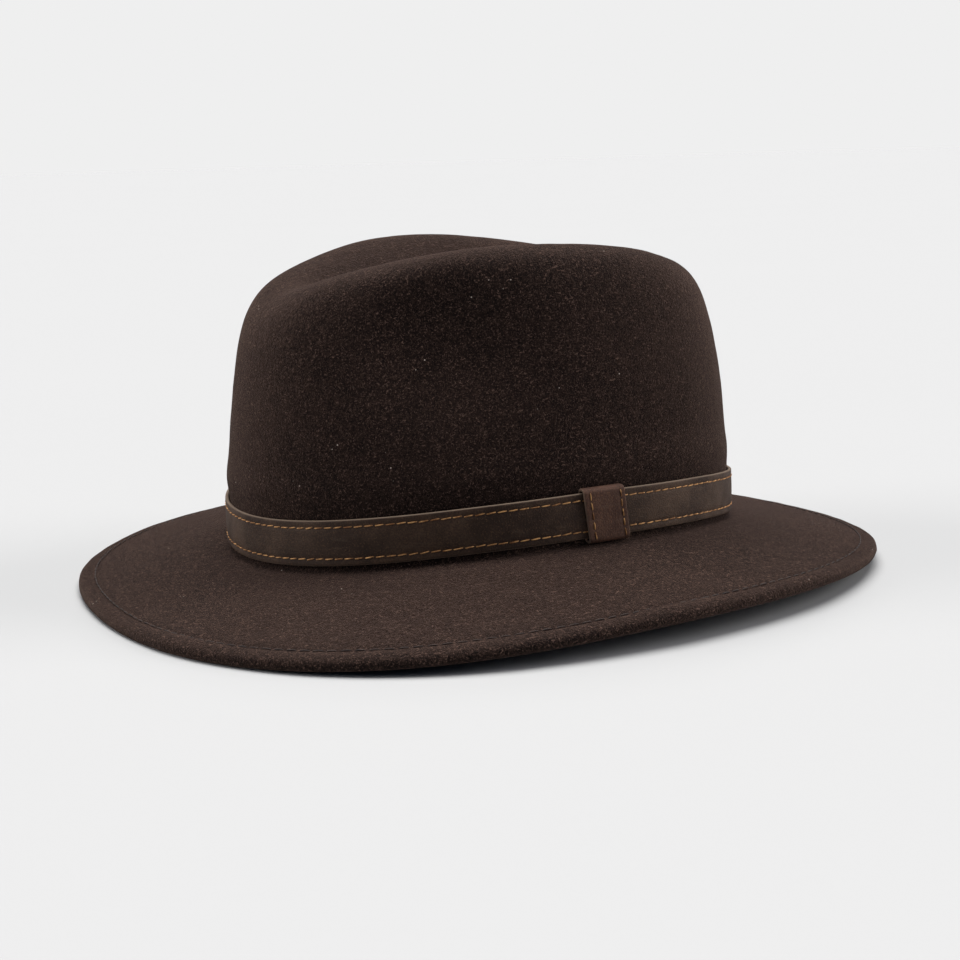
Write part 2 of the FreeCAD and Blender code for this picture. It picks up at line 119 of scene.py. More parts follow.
# ---- Band and keeper ----
BAND_HEIGHT = 17.6
BAND_LEATHER = 1.5
BAND_GAP = 0.4
BAND_CURVE_OUT = 2.0
BAND_CURVE_SPREAD = 0.42
BAND_THREAD_INSET = 2.8
BAND_ROUND = 0.55  # radius of the strap's worked edges
BAND_RAW_EDGE = 0.955  # part of the half height where the paler raw edge starts
BAND_RAW_FADE = 0.035
KEEPER_ANGLE = 4.3
KEEPER_WIDTH = 18.0
KEEPER_LEATHER = 1.2
KEEPER_LEAN = 0.13  # the keeper hangs askew: millimetres across for each of height
KEEPER_SIDE_GAP = 0.45
KEEPER_END_GAP = 0.65
KEEPER_FRONT_INSET = 2.7  # from the keeper's front edge to its thread row
KEEPER_BACK_INSET = 2.1
KEEPER_GROOVE_INSET = 2.5
KEEPER_GROOVE = 0.16
KEEPER_GROOVE_SPREAD = 0.6
KEEPER_STITCHES = 5  # in each upright row
KEEPER_STITCH = 0.80  # part of the pitch that a stitch spans
KEEPER_THREAD_SINK = 0.1
KEEPER_ROUND = 0.42
KEEPER_CORNER = 0.95  # inside radius where the keeper folds round the strap
KEEPER_FACE = 0.7  # the grooves stop where the leather turns away from the face
KEEPER_RAW_EDGE = 0.965
KEEPER_RAW_FADE = 0.03
BAND_GROOVE = 0.22  # how deep the band's thread rows are drawn in
BAND_GROOVE_SPREAD = 0.7
BAND_PILLOW = 0.12  # how far the band's face swells between its thread rows
THREAD_RADIUS = 0.25
THREAD_SINK = 0.12  # the middle of a stitch lies this far below the face it holds
STITCH_PITCH = 4.2
STITCH_LENGTH = 3.6
BAND_SLANT = 0.09  # radians that a stitch leans off its row
BRIM_STITCH_PITCH = 5.0
BRIM_SLANT = 0.05
BRIM_STITCH_LENGTH = 3.7
BRIM_GROOVE = 0.42
BRIM_GROOVE_SPREAD = 0.8
BRIM_PUFF = 0.20  # the edge swells between its thread row and its rim
BRIM_PUFF_SPREAD = 2.0
SLANT_SCATTER = 0.035  # scatter of the stitches' slant, their place and their length
PLACE_SCATTER = 0.05
LENGTH_SCATTER = 0.03
KEEPER_SCATTER = 0.04

# ---- Inside of the hat: heights are above the break, insets are from the felt's outside ----
SWEATBAND_LOW = -1.0
SWEATBAND_HEIGHT = 34.0
SWEATBAND_LEATHER = 1.1
SWEATBAND_INSET = 3.7
SWEATBAND_LEAN = 2.6  # how far its top edge leans in with the crown
SWEATBAND_THREAD_HEIGHT = 1.4
REED = 1.3
REED_GAP = 0.1
TAPE = 0.3
TAPE_INSET = 3.0
TAPE_LOW = -2.5
TAPE_HEIGHT = 7.0
SATIN = 0.3  # thickness of the lining's cloth
LINING_INSET = 2.9
LINING_FOOT = 6.0
LINING_KNEE = 34.0  # above this the lining leaves the crown's wall
LINING_KNEE_INSET = 5.6
LINING_TOP = 84.0
TIP_HALF_LENGTH = 86.0
TIP_HALF_WIDTH = 53.0
TIP_GAP = 0.1
PIPING = 1.6
SEAM_ROWS = 6  # cross stitches up the sweatband's back seam
SEAM_LOW = 12.0
SEAM_PITCH = 3.0
SEAM_HALF_WIDTH = 1.6
SEAM_STITCH_HEIGHT = 1.0
LABEL_WIDTH = 16.0
LABEL_HEIGHT = 12.0
LABEL_LOW = 14.0
LABEL_ANGLE = 118.0
LABEL_CLOTH = 0.4
BOW_HALF_WIDTH = 11.0
BOW_LOW = 3.8
BOW_HIGH = 10.2
BOW_THICKNESS = 1.6
KNOT_HALF_WIDTH = 2.0
KNOT_LOW = 4.5
KNOT_HIGH = 9.5
KNOT_THICKNESS = 2.1
PATCH_GAP = 0.1  # between the sweatband's face and the label
BOW_CLEARANCE = 0.3  # between the sweatband's face and the bow
SEAM_OPEN = 0.5  # gap between the sweatband's two ends
RIBBON = 0.35  # thickness of the bow's ribbon
SWEATBAND_RIPPLE = 0.4  # waves of the sweatband's free edge
SWEATBAND_STITCH_PITCH = 3.2
SWEATBAND_STITCH_LENGTH = 2.5
SWEATBAND_SLANT = 0.12
SWEATBAND_ROUND = 0.5
SWEATBAND_GROOVE = 0.18
SWEATBAND_GROOVE_SPREAD = 0.8
SWEATBAND_THREAD_SINK = 0.1
SEAM_LEAN = 0.55  # slope of the cross stitches
SEAM_RISE = 0.12  # the middle of a cross stitch stands this far off the face
TAPE_LIFTS = [TAPE_LOW + TAPE_HEIGHT, 2.6, 1.0, -0.4]  # the tape's flat part, from its top down
TAPE_SLACK = 0.03  # between the tape and the reed
BOW_PINCH = 0.4  # half width of the bow under its knot
BOW_GATHER = 0.55  # part of the ribbon's height left under the knot
BOW_OPENING = 1.6  # how soon the ribbon opens to its full height
KNOT_WAVE = 0.2
LABEL_ROUND = 0.15
LABEL_BOW = 0.35  # the label stands off this far in its middle
TIP_SAG = 1.5
TIP_CRUMPLE = 0.4
TIP_CRUMPLE_SIZE = 40.0
TIP_HOLE = 0.02  # size of the oval that closes the tip's middle
PLEATS = 96
PLEAT_DEPTH = 2.2

# Steps round the hat, and rows, of the meshes.
FELT_STEPS = 416
BAND_STEPS = 900
SWEATBAND_STEPS = 640
CORD_STEPS = 480
LINING_STEPS = 1152
TIP_STEPS = 288
TIP_ROWS = 22
ARC_STEPS = 7200  # steps over which a thread row's length is measured

RING_POINTS = 48
RING_SWELL = 3.0 / (2.0 + math.cos(2.0 * math.pi / RING_POINTS))
KEEPER_T = math.radians(KEEPER_ANGLE)
BACK_T = math.pi / 2.0

random = np.random.default_rng(7)


# ---- Shapes shared with the CAD ----
def oval(t, half_x, half_y, squareness=2.0, egg=0.0, centre_y=0.0):
    """Points of a squarish egg-shaped oval at the angles t."""
    c = np.cos(t)
    s = np.sin(t)
    r = (np.abs(c) ** squareness + np.abs(s) ** squareness) ** (-1.0 / squareness)
    return half_x * r * c * (1.0 + egg * r * s), half_y * r * s + centre_y


def break_height(t):
    sides = BREAK_SIDE_RISE * np.cos(2 * t)
    return BREAK_HEIGHT + BREAK_BACK_RISE * np.sin(t) + sides + BREAK_FRONT_RISE * np.sin(3 * t)


def edge_height(t):
    tilt = EDGE_LEFT_RISE * np.cos(t) + EDGE_BACK_RISE * np.sin(t)
    saddle = EDGE_SIDE_RISE * np.cos(2 * t) + EDGE_TWIST * np.sin(2 * t)
    waves = EDGE_FRONT_RISE * np.sin(3 * t) + EDGE_CORNER_DROP * np.cos(4 * t)
    return EDGE_HEIGHT + tilt + saddle + waves


def ridge_height(t):
    s = np.sin(t)
    front = np.maximum(-s, 0.0) ** 2
    back = np.maximum(s, 0.0) ** 2
    lip = np.exp(-((np.mod(t, 2 * np.pi) - 1.5 * np.pi) / LIP_SPREAD) ** 2)
    return CROWN_HEIGHT - FRONT_FALL * front - BACK_FALL * back - LIP_DIP * lip


def pinched(x, y, z):
    rise = z - BREAK_HEIGHT
    along = np.exp(-((y - PINCH_Y) / PINCH_LENGTH) ** 2)
    up = np.exp(-((rise - PINCH_HEIGHT) / PINCH_RISE) ** 2)
    push = PINCH_DEPTH * along * up * np.minimum(np.abs(x) / PINCH_FADE, 1.0)
    return x - np.copysign(push, x)


def ring(x, y, z):
    return np.stack([x, y, z + 0.0 * x], axis=-1)


def crease_ring(t, across, along, rise):
    half_length = BASE_HALF_LENGTH - (CREASE_FRONT_INSET + CREASE_BACK_INSET) / 2.0
    centre_y = (CREASE_FRONT_INSET - CREASE_BACK_INSET) / 2.0
    egg = CREASE_EGG * min(rise / CREASE_EGG_RISE, 1.0)
    x, y = oval(t, CREASE_HALF_WIDTH * across, half_length * along, 2.0, egg, centre_y)
    z = BREAK_HEIGHT + CREASE_FLOOR * (1.0 - rise) + ridge_height(t) * rise
    if rise > 0.0:
        x = pinched(x, y, z)
    return ring(x, y, z)


def crown_ring(t, rise, front, back, side):
    half_length = BASE_HALF_LENGTH - (front + back) / 2.0
    egg = CROWN_EGG * rise ** 2
    x, y = oval(t, (BASE_HALF_WIDTH - side) * RING_SWELL, half_length * RING_SWELL,
                BASE_SQUARENESS, egg, (front - back) / 2.0)
    z = break_height(t) * (1.0 - rise) + (BREAK_HEIGHT + ridge_height(t)) * rise
    return ring(pinched(x, y, z), y, z)


def wall_ring(t, lift):
    x, y = oval(t, BASE_HALF_WIDTH * RING_SWELL, BASE_HALF_LENGTH * RING_SWELL, BASE_SQUARENESS)
    return ring(x, y, break_height(t) + lift)


def brim_ring(t, part, drop):
    squareness = BASE_SQUARENESS + (BRIM_SQUARENESS - BASE_SQUARENESS) * part
    fall = part ** BRIM_FALL_POWER
    out = BRIM_WIDTH * part
    x, y = oval(t, (BASE_HALF_WIDTH + out) * RING_SWELL, (BASE_HALF_LENGTH + out) * RING_SWELL,
                squareness, BRIM_EGG * part, BRIM_SHIFT * part)
    z = (break_height(t) - BRIM_SINK) * (1.0 - fall) + edge_height(t) * fall
    return ring(x, y, z - drop)


def band_back(t):
    """How far the band's back stands outside the felt; more where the keeper's leg passes."""
    swing = np.mod(t - KEEPER_T + np.pi, 2.0 * np.pi) - np.pi
    return BAND_GAP + BAND_CURVE_OUT * np.exp(-(swing / BAND_CURVE_SPREAD) ** 4)


def lean_in(lift):
    """How far the sweatband has leaned in at a height above the break."""
    return SWEATBAND_LEAN * lift / SWEATBAND_HEIGHT


# ---- Mesh helpers ----
def angles(count):
    """Even steps round the hat."""
    return 2.0 * np.pi * np.arange(count) / count


def unit(vectors):
    return vectors / np.linalg.norm(vectors, axis=-1, keepdims=True)


def steps_round(points, axis):
    """Steps between each point's neighbours, where the points close on themselves."""
    return np.roll(points, -1, axis=axis) - np.roll(points, 1, axis=axis)


def distance_along(points):
    """Distance of each point from the first, along the line through them."""
    steps = np.linalg.norm(np.diff(points, axis=0), axis=1)
    return np.concatenate([[0.0], np.cumsum(steps)])


def smooth_noise(points, size, seed, octaves=1):
    """Soft random field from -1 to 1 at points, with bumps of about the given size."""
    rng = np.random.default_rng(seed)
    total = np.zeros(len(points))
    weight = 0.0
    waves = 6
    for octave in range(octaves):
        scale = size / 2.0 ** octave
        gain = 0.5 ** octave
        for _ in range(waves):
            direction = rng.normal(size=3)
            direction /= np.linalg.norm(direction)
            length = scale * rng.uniform(0.8, 1.7)
            phase = rng.uniform(0.0, 2.0 * np.pi)
            bend = rng.normal(size=3) / (scale * 2.5)
            wobble = 1.3 * np.sin(points @ bend + phase)
            total += gain * np.sin(points @ direction * 2.0 * np.pi / length + phase + wobble)
        weight += gain * float(waves) ** 0.5
    return total / weight / 1.2


def make_mesh(name, points, faces, smooth=True):
    """Object from points in millimetres."""
    mesh = bpy.data.meshes.new(name)
    mesh.from_pydata((np.asarray(points, float) * MM).tolist(), [], faces)
    if smooth:
        mesh.polygons.foreach_set("use_smooth", [True] * len(mesh.polygons))
    mesh.validate()
    mesh.update()
    piece = bpy.data.objects.new(name, mesh)
    bpy.context.scene.collection.objects.link(piece)
    return piece


def grid_faces(rows, columns, close_rows=False, close_columns=False, start=0, flip=False):
    """Quads of a grid of points stored row by row."""
    faces = []
    for r in range(rows if close_rows else rows - 1):
        below = (r + 1) % rows
        for c in range(columns if close_columns else columns - 1):
            right = (c + 1) % columns
            quad = (start + r * columns + c, start + r * columns + right,
                    start + below * columns + right, start + below * columns + c)
            faces.append(quad[::-1] if flip else quad)
    return faces


def row_face(row, columns, start=0, flip=False):
    """One face that closes a grid of points at a row."""
    face = tuple(range(start + row * columns, start + (row + 1) * columns))
    return face[::-1] if flip else face


def set_attribute(piece, name, values):
    """Give each point of a piece a number that its material reads."""
    attribute = piece.data.attributes.new(name, "FLOAT", "POINT")
    attribute.data.foreach_set("value", np.asarray(values, np.float32))


def rounded_section(width, height, radius, steps=5, width_steps=1, height_steps=1):
    """Closed outline of a rounded rectangle about the origin, anticlockwise."""
    outline = []
    half_w = width / 2.0 - radius
    half_h = height / 2.0 - radius
    corners = [(half_w, half_h, 0.0), (-half_w, half_h, 90.0),
               (-half_w, -half_h, 180.0), (half_w, -half_h, 270.0)]
    for index, (cx, cy, start) in enumerate(corners):
        for step in range(steps + 1):
            a = math.radians(start + 90.0 * step / steps)
            outline.append((cx + radius * math.cos(a), cy + radius * math.sin(a)))
        from_x, from_y = outline[-1]
        next_x, next_y, _ = corners[(index + 1) % 4]
        to_x = next_x + radius * math.cos(a)
        to_y = next_y + radius * math.sin(a)
        pieces = width_steps if index % 2 == 0 else height_steps
        for step in range(1, pieces):
            f = step / pieces
            outline.append((from_x + (to_x - from_x) * f, from_y + (to_y - from_y) * f))
    return np.array(outline)


# ---- Node helpers ----
class Nodes:
    """Short way to write a node material."""

    def __init__(self, name):
        self.material = bpy.data.materials.new(name)
        self.material.use_nodes = True
        self.tree = self.material.node_tree
        self.shader = self.tree.nodes["Principled BSDF"]
        self.place = self.tree.nodes.new("ShaderNodeTexCoord").outputs["Object"]

    def node(self, kind, **inputs):
        made = self.tree.nodes.new(kind)
        for key, value in inputs.items():
            self.put(made.inputs[key], value)
        return made

    def put(self, socket, value):
        if isinstance(value, bpy.types.NodeSocket):
            self.tree.links.new(value, socket)
        else:
            socket.default_value = value

    def noise(self, scale, detail=2.0, rough=0.5, distortion=0.0, vector=None):
        made = self.node("ShaderNodeTexNoise", Scale=scale, Detail=detail, Roughness=rough,
                         Distortion=distortion, Vector=vector or self.place)
        return made.outputs["Fac"]

    def voronoi(self, scale):
        made = self.node("ShaderNodeTexVoronoi", Scale=scale, Vector=self.place)
        return made.outputs["Distance"]

    def stretch(self, x, y, z, turn=(0.0, 0.0, 0.0)):
        made = self.node("ShaderNodeMapping", Vector=self.place, Scale=(x, y, z), Rotation=turn)
        return made.outputs["Vector"]

    def math(self, operation, a, b=0.0, c=0.0):
        made = self.tree.nodes.new("ShaderNodeMath")
        made.operation = operation
        for index, value in enumerate((a, b, c)):
            self.put(made.inputs[index], value)
        return made.outputs[0]

    def ramp(self, value, low, high, to_low=0.0, to_high=1.0):
        made = self.node("ShaderNodeMapRange", Value=value)
        made.interpolation_type = "SMOOTHSTEP"
        for index, number in ((1, low), (2, high), (3, to_low), (4, to_high)):
            made.inputs[index].default_value = number
        return made.outputs[0]

    def mix(self, amount, a, b):
        made = self.tree.nodes.new("ShaderNodeMix")
        made.data_type = "RGBA"
        self.put(made.inputs[0], amount)
        self.put(made.inputs[6], a)
        self.put(made.inputs[7], b)
        return made.outputs[2]

    def lay(self, base, tone, mask, low, high, amount):
        """Lays a tone over the base where the mask runs from low to high."""
        return self.mix(self.math("MULTIPLY", self.ramp(mask, low, high), amount), base, tone)

    def attribute(self, name):
        made = self.tree.nodes.new("ShaderNodeAttribute")
        made.attribute_name = name
        return made.outputs["Fac"]

    def bump(self, height, distance, strength=1.0, normal=None):
        made = self.node("ShaderNodeBump", Height=height, Distance=distance, Strength=strength)
        if normal is not None:
            self.put(made.inputs["Normal"], normal)
        return made.outputs["Normal"]

    def finish(self, **inputs):
        for key, value in inputs.items():
            self.put(self.shader.inputs[key.replace("_", " ")], value)
        return self.material


def srgb(r, g, b):
    """Colour given as 0 to 255 display values."""
    linear = []
    for v in (r, g, b):
        v /= 255.0
        linear.append(v / 12.92 if v <= 0.04045 else ((v + 0.055) / 1.055) ** 2.4)
    return (*linear, 1.0)


# ---- Materials ----
FELT_DARK = srgb(23, 16, 14)
FELT_MID = srgb(31, 22, 19)
FELT_LIGHT = srgb(46, 34, 29)
FELT_PIT = srgb(5, 4, 4)
FELT_FIBRE = srgb(112, 89, 79)
LINT = srgb(205, 190, 178)


def felt_material():
    """Brushed wool felt: matted fibres, faint tone patches and specks of pale lint."""
    n = Nodes("wool_felt")
    patches = n.noise(24.0, 3.0, 0.6)
    mottle = n.noise(420.0, 3.0, 0.7)
    grain = n.noise(1500.0, 2.0, 0.8)
    fibres_a = n.noise(1.0, 2.0, 0.6, 0.8, n.stretch(620.0, 2300.0, 1500.0, (0.4, 0.2, 0.7)))
    fibres_b = n.noise(1.0, 2.0, 0.6, 0.8, n.stretch(2100.0, 640.0, 1300.0, (0.9, 0.5, 0.1)))
    fibres = n.math("MAXIMUM", fibres_a, fibres_b)
    base = n.mix(n.ramp(patches, 0.35, 0.65), FELT_DARK, FELT_MID)
    base = n.lay(base, FELT_LIGHT, mottle, 0.38, 0.66, 0.60)
    base = n.lay(base, FELT_PIT, grain, 0.54, 0.36, 0.85)
    base = n.lay(base, FELT_FIBRE, fibres, 0.57, 0.74, 0.62)
    lint = n.math("MULTIPLY", n.ramp(n.voronoi(260.0), 0.085, 0.045),
                  n.ramp(n.noise(70.0, 1.0), 0.62, 0.68))
    base = n.mix(n.math("MULTIPLY", lint, 0.9), base, LINT)
    coarse = n.bump(mottle, 0.0006, 0.6)
    middle = n.bump(grain, 0.0005, 1.0, coarse)
    normal = n.bump(fibres, 0.0004, 0.9, middle)
    return n.finish(Base_Color=base, Roughness=0.95, Specular_IOR_Level=0.06, Normal=normal,
                    Sheen_Weight=0.37, Sheen_Roughness=0.32, Sheen_Tint=srgb(178, 148, 134))


def leather_material(name, dark, light, edge, speck, rough):
    """Waxed nubuck: fine pores, cloudy tone, reddish specks and paler raw edges."""
    n = Nodes(name)
    clouds = n.noise(60.0, 4.0, 0.6)
    grain = n.voronoi(1500.0)
    fine = n.noise(1700.0, 2.0, 0.7)
    scuffs = n.noise(1.0, 3.0, 0.6, 0.5, n.stretch(90.0, 90.0, 520.0))
    base = n.mix(n.ramp(clouds, 0.3, 0.7), dark, light)
    base = n.lay(base, dark, fine, 0.52, 0.36, 0.60)
    base = n.lay(base, speck, fine, 0.55, 0.70, 0.50)
    base = n.lay(base, edge, scuffs, 0.55, 0.75, 0.12)
    base = n.mix(n.math("MULTIPLY", n.attribute("edge"), 0.9), base, edge)
    pores = n.bump(grain, 0.00015, 0.6)
    normal = n.bump(fine, 0.0002, 0.8, pores)
    roughness = n.ramp(clouds, 0.3, 0.7, rough + 0.06, rough - 0.06)
    return n.finish(Base_Color=base, Roughness=roughness, Specular_IOR_Level=0.20, Normal=normal,
                    Sheen_Weight=0.05, Sheen_Roughness=0.5, Sheen_Tint=srgb(150, 118, 92))


def thread_material(name, dark, light):
    """Twisted thread with a slight wax shine."""
    n = Nodes(name)
    twist = n.noise(1.0, 1.0, 0.5, 0.2, n.stretch(2600.0, 2600.0, 2600.0, (0.7, 0.3, 0.5)))
    tone = n.noise(420.0, 2.0, 0.5)
    # painted light: for the tan thread the light tone is a painted highlight and the dark tone is
    # painted shade; noise mixes them at random along the thread
    base = n.mix(n.ramp(tone, 0.3, 0.7), dark, light)
    # the dark tone is laid into the grooves of the twist; for the tan thread this is painted shade
    base = n.lay(base, dark, twist, 0.45, 0.3, 0.4)
    return n.finish(Base_Color=base, Roughness=0.62, Specular_IOR_Level=0.3,
                    Normal=n.bump(twist, 0.00015, 0.7))


def ribbon_material(name, dark, light, ribs, shine):
    """Ribbed or woven cloth: fine ribs across the piece's width, from its "run" attribute."""
    n = Nodes(name)
    wave = n.math("SINE", n.math("MULTIPLY", n.attribute("run"), ribs))
    cross = n.math("SINE", n.math("MULTIPLY", n.attribute("rise"), ribs * 0.8))
    weave = n.math("MULTIPLY_ADD", wave, 0.5, n.math("MULTIPLY", cross, 0.2))
    tone = n.noise(140.0, 3.0, 0.6)
    base = n.mix(n.ramp(tone, 0.0, 1.0), dark, light)
    base = n.lay(base, dark, weave, 0.1, -0.6, 0.45)
    return n.finish(Base_Color=base, Roughness=shine, Specular_IOR_Level=0.35,
                    Normal=n.bump(weave, 0.00008, 0.7), Sheen_Weight=0.25, Sheen_Roughness=0.35,
                    Sheen_Tint=light)


def smooth_leather_material():
    """Dressed sweatband leather: soft creases, fine pores and a low polish."""
    n = Nodes("sweatband_leather")
    clouds = n.noise(35.0, 4.0, 0.6)
    creases = n.noise(1.0, 4.0, 0.65, 1.2, n.stretch(160.0, 160.0, 60.0))
    pores = n.voronoi(1900.0)
    base = n.mix(n.ramp(clouds, 0.3, 0.7), srgb(104, 66, 42), srgb(132, 88, 58))
    base = n.lay(base, srgb(70, 42, 27), creases, 0.42, 0.30, 0.4)
    normal = n.bump(pores, 0.00010, 0.5, n.bump(creases, 0.0004, 0.5))
    return n.finish(Base_Color=base, Roughness=n.ramp(clouds, 0.3, 0.7, 0.50, 0.38),
                    Specular_IOR_Level=0.45, Normal=normal)


def plastic_material():
    """Extruded reed: satin plastic with faint draw lines."""
    n = Nodes("reed_plastic")
    lines = n.noise(1.0, 2.0, 0.5, 0.0, n.stretch(60.0, 60.0, 4200.0))
    base = n.mix(n.ramp(lines, 0.3, 0.7), srgb(84, 64, 52), srgb(98, 76, 62))
    return n.finish(Base_Color=base, Roughness=0.42, Normal=n.bump(lines, 0.00005, 0.5))


FELT_LOOK = felt_material()
BAND_LOOK = leather_material("band_leather", srgb(42, 29, 22), srgb(70, 52, 39),
                             srgb(112, 97, 83), srgb(96, 70, 50), 0.66)
KEEPER_LOOK = leather_material("keeper_leather", srgb(54, 35, 28), srgb(86, 60, 47),
                               srgb(118, 98, 84), srgb(122, 80, 56), 0.70)
# The tan thread's light tone is a painted highlight and its dark tone is painted shade.
TAN_THREAD_LOOK = thread_material("tan_thread", srgb(112, 70, 34), srgb(196, 148, 94))
FELT_THREAD_LOOK = thread_material("felt_thread", srgb(34, 24, 21), srgb(54, 40, 34))
SWEATBAND_LOOK = smooth_leather_material()
REED_LOOK = plastic_material()
GROSGRAIN_LOOK = ribbon_material("grosgrain", srgb(38, 28, 25), srgb(62, 48, 42), 7000.0, 0.6)
SATIN_LOOK = ribbon_material("satin", srgb(118, 88, 62), srgb(158, 122, 90), 16000.0, 0.34)
LABEL_LOOK = ribbon_material("label_cloth", srgb(176, 160, 134), srgb(206, 192, 166), 11000.0, 0.7)


def dress(piece, look, body, slot, *nodes):
    """Material, body and the CAD nodes that a piece stands for; the slot is not used."""
    piece.data.materials.clear()
    piece.data.materials.append(look)
    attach(piece, body)
    if nodes:
        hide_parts(*nodes)
    return piece


# ---- Felt body ----
FACE = 1.7  # size of the felt's faces outside
HIDDEN_FACE = 3.6
SEEN_UNDER = 8  # rows of control points past the brim's top with small faces
LUMP = 0.35  # height and width of the felt's slow waves
LUMP_SIZE = 60.0
PIMPLE = 0.10  # and of its small ones
PIMPLE_SIZE = 14.0
CORNER = 0.08  # part of the brim's width where the corner is, left smooth
CORNER_FADE = 0.05
BEHIND_BAND = 9.0  # half height of the felt behind the band, left smooth
BEHIND_FADE = 8.0
ON_BRIM = 0.15  # grooves are past this part of the brim's width
BELLY = 0.9  # the crown swells this much just above the band
BELLY_LIFT = 26.5
BELLY_SPREAD = 7.0


def ring_weights():
    """Weights of the ring's control points at each step round the hat."""
    place = np.arange(FELT_STEPS) / (FELT_STEPS / RING_POINTS)
    index = np.floor(place).astype(int)
    u = place - index
    weights = np.stack([(1 - u) ** 3, 3 * u ** 3 - 6 * u ** 2 + 4,
                        -3 * u ** 3 + 3 * u ** 2 + 3 * u + 1, u ** 3], axis=1) / 6.0
    matrix = np.zeros((FELT_STEPS, RING_POINTS))
    for k in range(4):
        matrix[np.arange(FELT_STEPS), (index + k - 1) % RING_POINTS] += weights[:, k]
    return matrix


def clamped_weights(rows, places):
    """Weights of the rows of control points at places from 0 to rows - 3."""
    knots = np.concatenate([[0, 0, 0], np.arange(rows - 2), [rows - 3] * 3]).astype(float)
    places = np.clip(places, 0.0, rows - 3 - 1e-9)
    basis = ((places[:, None] >= knots[None, :-1]) & (places[:, None] < knots[None, 1:])) * 1.0
    for degree in (1, 2, 3):
        count = len(knots) - 1 - degree
        new = np.zeros((len(places), count))
        for i in range(count):
            left = knots[i + degree] - knots[i]
            right = knots[i + degree + 1] - knots[i + 1]
            if left > 0:
                new[:, i] += (places - knots[i]) / left * basis[:, i]
            if right > 0:
                new[:, i] += (knots[i + degree + 1] - places) / right * basis[:, i + 1]
        basis = new
    return basis


def offset_inwards(rings, distance):
    """Move each ring's points along the surface's inward normal."""
    net = np.stack(rings)
    above = np.concatenate([net[:1], net[:-1]])
    below = np.concatenate([net[1:], net[-1:]])
    return list(net + unit(np.cross(steps_round(net, 1), below - above)) * distance)


def felt_rings():
    """The felt's rings of control points, and how far out on the brim each one lies."""
    t = angles(RING_POINTS)
    crown = [crease_ring(t, *station) for station in CREASE_STATIONS]
    crown += [crown_ring(t, *station) for station in CROWN_STATIONS]
    crown += [wall_ring(t, lift) for lift in FOOT_LIFTS]
    brim = [brim_ring(t, part, 0.0) for part in BRIM_STATIONS]
    inside = offset_inwards(crown + brim[:2], FELT)
    for row in inside[:2]:
        row[:, 2] = BREAK_HEIGHT + CREASE_FLOOR - FELT
    thick = FELT + UNDERWELT
    fold = 1.0 - UNDERWELT_WIDTH / BRIM_WIDTH
    edge = [(part, thick * down) for part, down in EDGE_STATIONS]
    edge += [(fold + WELT_STEP, thick), (fold, thick), (fold - WELT_STEP, FELT),
             (fold - 3.0 * WELT_STEP, FELT)]
    edge += [(part, FELT) for part in BRIM_UNDER_STATIONS]
    rings = crown + brim + [brim_ring(t, part, drop) for part, drop in edge] + inside[::-1]
    parts = [0.0] * len(crown) + BRIM_STATIONS + [part for part, _ in edge] + [0.0] * len(inside)
    return rings, parts, len(crown) + len(brim)


def felt_places(net, outer_rows):
    """Row positions that give faces of about even size, coarser on the hidden inside."""
    places = []
    rows = len(net)
    for span in range(rows - 3):
        length = np.linalg.norm(net[span + 2] - net[span + 1], axis=1).max()
        size = FACE if span < outer_rows + SEEN_UNDER else HIDDEN_FACE
        count = max(int(math.ceil(length / size)), 2)
        places += [span + i / count for i in range(count)]
    return np.array(places + [rows - 3.0])


def felt_body():
    rings, parts, outer_rows = felt_rings()
    net = np.stack(rings)
    places = felt_places(net, outer_rows)
    down = clamped_weights(len(rings), places)
    fine = np.einsum("rk,kpc->rpc", down, net)
    fine = np.einsum("ap,rpc->rac", ring_weights(), fine)
    rows = len(fine)
    flat = fine.reshape(-1, 3)
    normal = np.cross(np.gradient(fine, axis=0), steps_round(fine, 1))
    normal /= np.linalg.norm(normal, axis=2, keepdims=True) + 1e-12
    part = (down @ np.array(parts))[:, None]
    from_edge = (1.0 - part) * BRIM_WIDTH
    top = (places < outer_rows + 1)[:, None]
    lift = fine[:, :, 2] - break_height(angles(FELT_STEPS))[None, :]
    lumps = LUMP * smooth_noise(flat, LUMP_SIZE, 3)
    lumps += PIMPLE * smooth_noise(flat, PIMPLE_SIZE, 4, 2)
    lumps = lumps.reshape(rows, FELT_STEPS)
    lumps = lumps * np.clip(np.abs(part - CORNER) / CORNER_FADE, 0.0, 1.0)
    lumps *= np.clip((np.abs(lift - BEHIND_BAND) - BEHIND_BAND) / BEHIND_FADE, 0.0, 1.0)
    groove = -BRIM_GROOVE * np.exp(-((from_edge - BRIM_THREAD_INSET) / BRIM_GROOVE_SPREAD) ** 2)
    puff = BRIM_PUFF * np.exp(-((from_edge - 0.5 * BRIM_THREAD_INSET) / BRIM_PUFF_SPREAD) ** 2)
    belly = BELLY * np.exp(-((lift - BELLY_LIFT) / BELLY_SPREAD) ** 2) * (part < 0.001)
    shift = (lumps + belly) * top + (groove + puff * top) * (part > ON_BRIM)
    flat = flat + (normal * shift[:, :, None]).reshape(-1, 3)
    faces = grid_faces(rows, FELT_STEPS, close_columns=True)
    middle = flat[:FELT_STEPS].mean(axis=0)
    bottom = flat[-FELT_STEPS:].mean(axis=0)
    top_middle = len(flat)
    flat = np.vstack([flat, middle, bottom])
    last = (rows - 1) * FELT_STEPS
    for c in range(FELT_STEPS):
        right = (c + 1) % FELT_STEPS
        faces.append((right, c, top_middle))
        faces.append((last + c, last + right, top_middle + 1))
    piece = make_mesh("felt_crown_and_brim", flat, faces)
    dress(piece, FELT_LOOK, "hat", "wool_felt", "felt_body")


felt_body()


# ---- Band ----
def round_crown(t, reach, lift):
    """Point off the felt's base oval, at a height above the break."""
    x, y = oval(t, BASE_HALF_WIDTH + reach, BASE_HALF_LENGTH + reach, BASE_SQUARENESS)
    return ring(x, y, break_height(t) + lift)


def band_point(t, out, lift):
    """Point measured outwards from the band's back and up from its bottom edge."""
    return round_crown(t, band_back(t) + out, lift)


